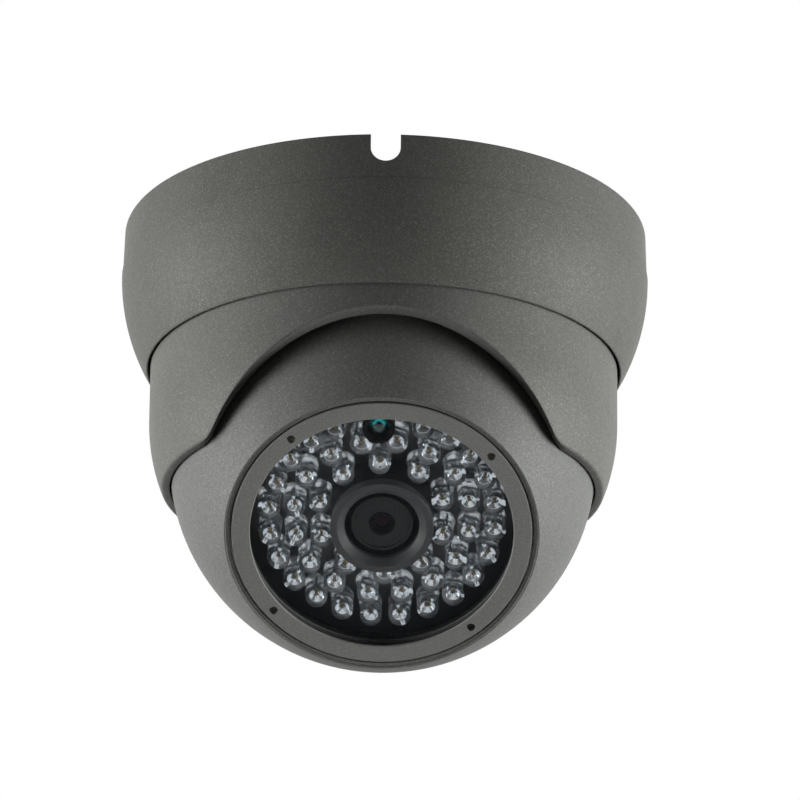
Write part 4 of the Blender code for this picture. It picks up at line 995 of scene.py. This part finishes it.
# %% Shape a lamp's body
LED_RADIUS = 0.0025
LED_HEIGHT = 0.0086
LED_SOFT = 0.00012
DOME_STEPS = 12
LAMP_STEPS = 32
FLANGE_RADIUS = 0.00265
FLANGE_HEIGHT = 0.0010
FLANGE_SOFT = 0.00008


def lamp_body():
    outline = arc((0.0, LED_HEIGHT - LED_RADIUS), LED_RADIUS, math.pi / 2, 0.0, DOME_STEPS)
    outline += [(LED_RADIUS, FLANGE_HEIGHT, LED_SOFT), (FLANGE_RADIUS, FLANGE_HEIGHT, FLANGE_SOFT)]
    outline += [(FLANGE_RADIUS, 0.0, FLANGE_SOFT), (0.0, 0.0, 0.0)]
    return turned("lamp_body", outline, steps=LAMP_STEPS)


lamp_tip = span("ir_leds_outer", BALL).high
print("Lamp tips lie", mm(lamp_tip), "mm in front of the ball's centre")

# %% [markdown]
# Inside a lamp stand two leads. One carries a bright cup with a dark chip in it, and a gold wire goes from
# the chip to the other lead. The dome works as a lens and shows the cup much larger, as bright petals round
# a dark middle. So the inside is modelled, and the epoxy refracts it.

# %% Shape a lamp's inside
CUP_DEPTH_BELOW_TIP = 0.0029
CUP_RADIUS = 0.00098
CUP_FLOOR_RADIUS = 0.00036
CUP_DEPTH = 0.00062
CUP_WALL = 0.00004
CUP_TAPER = 0.8
CUP_STEPS = 24
CHIP_SIDE = 0.00042
CHIP_HEIGHT = 0.00026
LEAD_WIDTH = 0.0005
ANVIL = (0.0020, 0.0006, 0.0016)
ANVIL_OFFSET = -0.0004
ANODE = (0.0006, 0.0005, 0.0020)
ANODE_OFFSET = 0.0014
WIRE_RADIUS = 0.00004
WIRE_SIDES = 6
WIRE_BEND = 0.0007
WIRE_SHARES = (0.0, 0.15, 0.3, 0.5, 0.7, 0.85, 1.0)

cup_top = LED_HEIGHT - CUP_DEPTH_BELOW_TIP
cup_floor = cup_top - CUP_DEPTH


def bright_cup(name, top, foot, mouth, rim, foot_radius, axes, steps):
    """A round cup with sloping sides."""
    floor = top - CUP_DEPTH
    outline = [(rim, top, 0.0), (foot_radius, foot, 0.0), (0.0, foot, 0.0), (0.0, floor, 0.0)]
    return turned(name, outline + [(CUP_FLOOR_RADIUS, floor, 0.0), (mouth, top, 0.0)], axes, steps)


def lamp_leads():
    rim = CUP_RADIUS + CUP_WALL
    foot = cup_floor - LEAD_WIDTH / 2
    cup = bright_cup("cup", cup_top, foot, CUP_RADIUS, rim, CUP_TAPER * rim, UPRIGHT, CUP_STEPS)
    form = bmesh.new()
    form.from_mesh(cup.data)
    bpy.data.objects.remove(cup, do_unlink=True)
    for head, offset, top in ((ANVIL, ANVIL_OFFSET, foot), (ANODE, ANODE_OFFSET, cup_top)):
        neck = top - head[2]
        add_block(form, head, (offset, 0.0, top - head[2] / 2))
        add_block(form, (LEAD_WIDTH, LEAD_WIDTH, neck), (offset, 0.0, neck / 2))
    return ended("lamp_leads", form, UPRIGHT)


def wire_point(share):
    """A point on the bent wire, from the chip to the other lead."""
    rise = (CUP_DEPTH - CHIP_HEIGHT) * share + WIRE_BEND * math.sin(math.pi * share)
    return Vector((ANODE_OFFSET * share, 0.0, cup_floor + CHIP_HEIGHT + rise))


def lamp_chip():
    form = bmesh.new()
    add_block(form, (CHIP_SIDE, CHIP_SIDE, CHIP_HEIGHT), (0.0, 0.0, cup_floor + CHIP_HEIGHT / 2))
    wire = [wire_point(share) for share in WIRE_SHARES]
    for low, high in zip(wire, wire[1:]):
        along = (high - low).to_track_quat("Z", "Y").to_matrix().to_4x4()
        middle = Matrix.Translation((low + high) / 2)
        bmesh.ops.create_cone(form, cap_ends=True, segments=WIRE_SIDES, radius1=WIRE_RADIUS,
                              radius2=WIRE_RADIUS, depth=(high - low).length, matrix=middle @ along)
    return ended("lamp_chip", form, UPRIGHT)


print("The cups' rims stand", mm(cup_top), "mm above the lamps' feet")

# %% [markdown]
# The board carries 10, 16 and 22 lamps in three rings, and the outer ring leaves two places free for the
# light sensor. Bodies, leads and chips are three rings from the same tree and the same seed, so they lean
# together.

# %% Set out the three rings of lamps
LEAN = math.radians(1.6)
TWIST = math.pi
LAMP_COUNTS = {"inner": 10, "middle": 16, "outer": 24}
LEFT_OUT = {"inner": 0, "middle": 0, "outer": 1}
LAMP_SEEDS = {"inner": 3, "middle": 8, "outer": 5}

web_back = span("ir_leds_outer", BALL).low
board_turn = middle_in_ball("photocell")[1]
for word, count in LAMP_COUNTS.items():
    first = board_turn if word == "inner" else board_turn + math.pi / count
    places = {"Count": count, "Left out": LEFT_OUT[word], "Seed": LAMP_SEEDS[word], "First angle": first,
              "Radius": sum(radii_at(f"ir_leds_{word}", BALL, web_back)) / 2,
              "Height": lamp_tip - LED_HEIGHT, "Lean": LEAN, "Twist": TWIST}
    bodies = ring_of(f"lamp_bodies_{word}", lamp_body(), BALL, Finish=EPOXY, **places)
    fitted(bodies, "ball", EPOXY, "clear_epoxy", f"ir_leds_{word}")
    leads = ring_of(f"lamp_leads_{word}", lamp_leads(), BALL, Finish=LAMP_SILVER, **places)
    fitted(leads, "ball", LAMP_SILVER, "plated_steel")
    chips = ring_of(f"lamp_chips_{word}", lamp_chip(), BALL, Finish=BOND_GOLD, **places)
    fitted(chips, "ball", BOND_GOLD, "brass")

# %% [markdown]
# The light sensor sits at the top of the outer ring, in a short black tube. It is made like a lamp, with a
# bright cup inside, but its epoxy is dyed a dark blue-green that lets only part of the light through.

# %% Make the light sensor
SHROUD_SOFT = 0.0003
CELL_CROWN = 0.0024

AT_CELL = on_circle(*middle_in_ball("photocell"))
cell = span("photocell", AT_CELL)
shroud = span("photocell_shroud", AT_CELL)
sensor_tube = tube("sensor_tube", shroud, AT_CELL, SHROUD_SOFT, steps=SMALL_TURN_STEPS)
fitted(sensor_tube, "ball", BAFFLE_BLACK, "black_plastic", "photocell_shroud")
sensor_dome = domed("sensor_dome", cell, CELL_CROWN, AT_CELL, DOME_STEPS)
fitted(sensor_dome, "ball", CELL_EPOXY, "sensor_lens", "photocell")
cell_cup_top = cell.high - CUP_DEPTH_BELOW_TIP
sensor_cup = bright_cup("sensor_cup", cell_cup_top, cell_cup_top - 2 * CUP_DEPTH, CUP_RADIUS - CUP_WALL,
                        CUP_RADIUS, CUP_RADIUS, AT_CELL, LAMP_STEPS)
fitted(sensor_cup, "ball", LAMP_SILVER, "plated_steel")

# %% [markdown]
# ## The lens
# A black sleeve reaches from the board to the glass, so that no lamp light gets into the lens. Its rim is
# flat, with a bevel inside. The sleeve is one black part. Its head's lighter black and its tube's deeper
# black paint in light and shade: the tube behind the head lies in the dark, so it is a piece of its own, in
# a deeper black.

# %% Make the sleeve
SLEEVE_RIM = 0.0015
SLEEVE_BEVEL = 0.0013
SLEEVE_HEAD = 0.0024
SLEEVE_SOFT = 0.00025

sleeve = span("lens_sleeve", BALL)
head_foot = sleeve.high - SLEEVE_HEAD
sleeve_head = turned("sleeve_head", [
    (sleeve.outer, sleeve.high, SLEEVE_SOFT), (sleeve.outer, head_foot, 0.0), (sleeve.inner, head_foot, 0.0),
    (sleeve.inner, sleeve.high - SLEEVE_BEVEL, SLEEVE_SOFT / 2),
    (sleeve.outer - SLEEVE_RIM, sleeve.high, SLEEVE_SOFT / 2)], BALL)
fitted(sleeve_head, "ball", SLEEVE_BLACK, "black_plastic", "lens_sleeve")
# Painted shade: the sleeve's tube lies in the dark behind its head, so it gets a deeper black than the head.
sleeve_tube = tube("sleeve_tube", sleeve._replace(high=head_foot), BALL)
fitted(sleeve_tube, "ball", LENS_BLACK, "black_plastic")

# %% [markdown]
# The lens head sits deeper: a flat black face with a small opening, steps that stop stray light, and a dark
# coated glass behind them. All of it is turned, and rides on the lens, which turns in its holder to focus.

# %% Make the lens
LENS_SOFT = 0.0003
FACE_GAP = 0.00006
BAFFLES = 3
BAFFLE_STEP = 0.00042
GLASS_CROWN = 0.0006

barrel = span("lens_barrel", BALL)
keeper = span("lens_retaining_ring", BALL)
eye = span("lens_front_element", BALL)
thread_radius = radii_at("lens_barrel", BALL, barrel.low)[1]
neck = min(place for radius, place in round_points("lens_barrel", BALL)
           if radius > barrel.outer - SAME_PLACE)
face_room = keeper.outer + FIT
face_back = keeper.low - FIT
lens_head = turned("lens_head", [
    (barrel.outer, barrel.high, LENS_SOFT), (barrel.outer, neck, LENS_SOFT / 2), (thread_radius, neck, 0.0),
    (thread_radius, barrel.low, LENS_SOFT), (barrel.inner, barrel.low, 0.0), (barrel.inner, face_back, 0.0),
    (face_room, face_back, 0.0), (face_room, barrel.high, LENS_SOFT / 3)], BALL)
fitted(lens_head, "lens", LENS_BLACK, "black_plastic", "lens_barrel")
face_radius = face_room - FACE_GAP
lens_face = turned("lens_face", [
    (face_radius, keeper.high, LENS_SOFT / 3), (face_radius, keeper.low, 0.0),
    (keeper.inner, keeper.low, 0.0), (keeper.inner, keeper.high, LENS_SOFT / 2)], BALL)
fitted(lens_face, "lens", LENS_BLACK, "blackened_steel", "lens_retaining_ring")


def baffle_outline():
    """Black steps inside the opening, narrower towards the glass."""
    low = eye.high + FACE_GAP
    outside = keeper.inner - FACE_GAP
    tread = (keeper.high - low) / (BAFFLES + 1)
    outline = [(outside, low + BAFFLES * tread, 0.0), (outside, low, 0.0)]
    for step in range(BAFFLES, 0, -1):
        radius = outside - step * BAFFLE_STEP
        height = low + (BAFFLES - step) * tread
        outline += [(radius, height, 0.0), (radius, height + tread, 0.0)]
    return outline


lens_baffle = turned("lens_baffle", baffle_outline(), BALL, SMALL_TURN_STEPS)
fitted(lens_baffle, "lens", BAFFLE_BLACK, "blackened_steel")
lens_eye = domed("lens_eye", eye, GLASS_CROWN, BALL, DOME_STEPS)
fitted(lens_eye, "lens", LENS_GLASS, "coated_lens_glass", "lens_front_element")

# %% [markdown]
# ## Fixings and what is inside
# The mounting plate is cut from sheet, and seen from above. It is a copy of its solid with every edge
# softened by a Bevel modifier, because cut and plated sheet has no knife edges.

# %% Soften the plate
PLATE_SOFT = 0.00025
PLATE_SEGMENTS = 2
FLAT_FACE = math.radians(1.0)
FLAT_SHEET = math.radians(15.0)


def softened_copy(node, name, softness):
    """A copy of a CAD node with its doubles merged, its flat faces joined and its edges rounded."""
    form = bmesh.new()
    form.from_mesh(frame["nodes"][node].data)
    bmesh.ops.remove_doubles(form, verts=form.verts, dist=MERGE_DISTANCE)
    bmesh.ops.dissolve_limit(form, angle_limit=FLAT_FACE, verts=form.verts, edges=form.edges)
    piece = ended(name, form, UPRIGHT)
    step = piece.modifiers.new("soft_edges", "BEVEL")
    step.width = softness
    step.segments = PLATE_SEGMENTS
    step.limit_method = "ANGLE"
    step.angle_limit = SHARP_EDGE
    piece.data = shaded(plain_mesh(piece), FLAT_SHEET)
    return piece


plate = softened_copy("mounting_plate", "ceiling_plate", PLATE_SOFT)
fitted(plate, "base", PLATED_STEEL, "plated_steel", "mounting_plate")

# %% [markdown]
# The rings and small fixings, and the boards inside the closed ball, are hardly seen. They keep the shapes
# of their solids, and get finishes of their own.

# %% Dress the rest
def numbered(name, count):
    return [f"{name}_{number}" for number in range(1, count + 1)]


KEPT_FINISHES = {
    PLATED_STEEL: ["pan_snap_ring", "tilt_pivot_left", "tilt_pivot_right", "power_capacitor"],
    DARK_STEEL: ["base_lock_screw"] + numbered("shell_screw", 3) + numbered("led_board_screw", 3)
    + numbered("board_screw", 4),
    NYLON: ["pan_friction_ring", "pivot_bush_left", "pivot_bush_right", "cable_socket"],
    RUBBER: ["shell_seal", "cable_gland"],
    SATIN_BLACK: ["lens_holder"],
    BLACK_BOARD: ["led_board"],
    GREEN_BOARD: ["sensor_board", "main_board"],
    BRASS: ["ir_cut_coil", "gland_nut"] + numbered("front_standoff", 4) + numbered("rear_standoff", 4),
    WINDOW_GLASS: ["ir_cut_filter"],
    SENSOR_FACE: ["image_sensor"],
    LENS_GLASS: ["lens_rear_element"],
}
for finish, nodes in KEPT_FINISHES.items():
    for node in nodes:
        frame["nodes"][node].data.materials.clear()
        frame["nodes"][node].data.materials.append(finish)
print(sum(len(nodes) for nodes in KEPT_FINISHES.values()), "solids keep their shape")

# %% [markdown]
# ## The studio
# The camera hangs in front of white. The world is white for what the photo, reflections and clear pieces
# see, and a dim grey for the light it gives. Two large soft lamps, left and right and a little below, leave
# the front darker than the sides.

# %% Light the scene
WHITE = (1.0, 1.0, 1.0)
ROOM_GREY = (0.012, 0.012, 0.012)
SOFT_BOX_SIDE = 0.7
SOFT_BOX_SPREAD = math.radians(60.0)
SOFT_BOX_PLACE = (1.16, -0.085, -0.22)
LEFT_POWER = 2.3
RIGHT_POWER = 2.55
TARGET = Vector((0.0, 0.0, -0.05))


def seen_white(tree):
    """1 for rays from the camera, from a reflection and through glass, and 0 for the rest."""
    path = added(tree, "ShaderNodeLightPath").outputs
    seen = sum_in(tree, "MAXIMUM", path["Is Camera Ray"], path["Is Glossy Ray"])
    return sum_in(tree, "MAXIMUM", seen, path["Is Transmission Ray"])


def make_world():
    world = bpy.data.worlds.new("studio")
    world.use_nodes = True
    tree = world.node_tree
    fed(tree, tree.nodes["Background"], {"Color": shades(tree, seen_white(tree), ROOM_GREY, WHITE)})
    bpy.context.scene.world = world


def soft_lamp(name, side, power):
    """A large soft lamp at one side, turned to the dome camera."""
    light = bpy.data.lights.new(name, "AREA")
    light.energy = power
    light.size = SOFT_BOX_SIDE
    light.spread = SOFT_BOX_SPREAD
    lamp = bpy.data.objects.new(name, light)
    lamp.location = Vector((side, 1.0, 1.0)) * Vector(SOFT_BOX_PLACE)
    lamp.rotation_euler = (TARGET - lamp.location).to_track_quat("-Z", "Y").to_euler()
    lamp.visible_camera = False
    bpy.context.scene.collection.objects.link(lamp)


make_world()
soft_lamp("left_soft_box", -1, LEFT_POWER)
soft_lamp("right_soft_box", 1, RIGHT_POWER)
print("Two soft lamps of", LEFT_POWER, "and", RIGHT_POWER, "watts")

# %% [markdown]
# The floor is far below, as under a ceiling, and is white wherever it is seen. A dark card behind the
# photographer keeps the front of the paint and the glass dark. It isn't seen in the photo itself, nor
# through the clear pieces.

# %% Lay out the floor and the card
FLOOR_SIDE = 6.0
FLOOR_DEPTH = 2.4
CARD_SIDE = 2.6
CARD_DISTANCE = 2.0
SHEET_MOTTLE = 4.0


def white_paper(material):
    """Makes a pale finish white wherever it is seen, so that only its light stays dim."""
    tree = material.node_tree
    glow = added(tree, "ShaderNodeEmission")
    paper = tree.nodes["Principled BSDF"]
    mix = added(tree, "ShaderNodeMixShader", {0: seen_white(tree), 1: paper.outputs[0], 2: glow.outputs[0]})
    fed(tree, tree.nodes["Material Output"], {"Surface": mix.outputs[0]})
    return material


def sheet(name, side, place, finish):
    """A flat square sheet."""
    form = bmesh.new()
    bmesh.ops.create_grid(form, x_segments=1, y_segments=1, size=side / 2, matrix=place)
    piece = ended(name, form, UPRIGHT)
    piece.data.materials.append(finish)
    return piece


pale = plain("pale_floor", (0.80, 0.80, 0.79), (0.84, 0.84, 0.83), (0.6, 0.8), scale=SHEET_MOTTLE)
floor = sheet("floor", FLOOR_SIDE, Matrix.Translation((0.0, 0.0, -FLOOR_DEPTH)), white_paper(pale))
dark = plain("card_black", (0.018, 0.018, 0.018), (0.026, 0.026, 0.026), (0.8, 0.9), scale=SHEET_MOTTLE)
towards_object = Matrix.Translation((0.0, -CARD_DISTANCE, TARGET.z)) @ Matrix.Rotation(math.pi / 2, 4, "X")
card = sheet("dark_card", CARD_SIDE, towards_object, dark)
card.visible_camera = False
card.visible_transmission = False
print("A pale floor", FLOOR_DEPTH, "m below and a dark card", CARD_DISTANCE, "m in front")

# %% [markdown]
# ## The photographer's camera
# It looks up at the dome camera from about 22 degrees below it, through a long lens, so that the round
# outlines stay nearly true ellipses.

# %% Place the camera
AIM = Vector((0.00374, 0.0103, -0.03542))
BELOW = math.radians(21.86)
DISTANCE = 1.6
FOCAL_MM = 315.2
SENSOR_MM = 36.0
ROLL = math.radians(0.61)
FAR_END = 20.0

look = Vector((0.0, math.cos(BELOW), math.sin(BELOW)))
eye_data = bpy.data.cameras.new("photo_camera")
eye_data.lens = FOCAL_MM
eye_data.sensor_width = SENSOR_MM
eye_data.clip_end = FAR_END
photo_camera = bpy.data.objects.new("photo_camera", eye_data)
photo_camera.location = AIM - look * DISTANCE
photo_camera.rotation_euler = (look.to_track_quat("-Z", "Y") @ Quaternion((0.0, 0.0, 1.0), ROLL)).to_euler()
bpy.context.scene.collection.objects.link(photo_camera)
bpy.context.scene.camera = photo_camera
bpy.context.scene.view_settings.view_transform = "Standard"
print("The photo is taken from", DISTANCE, "m away with a", FOCAL_MM, "mm lens")
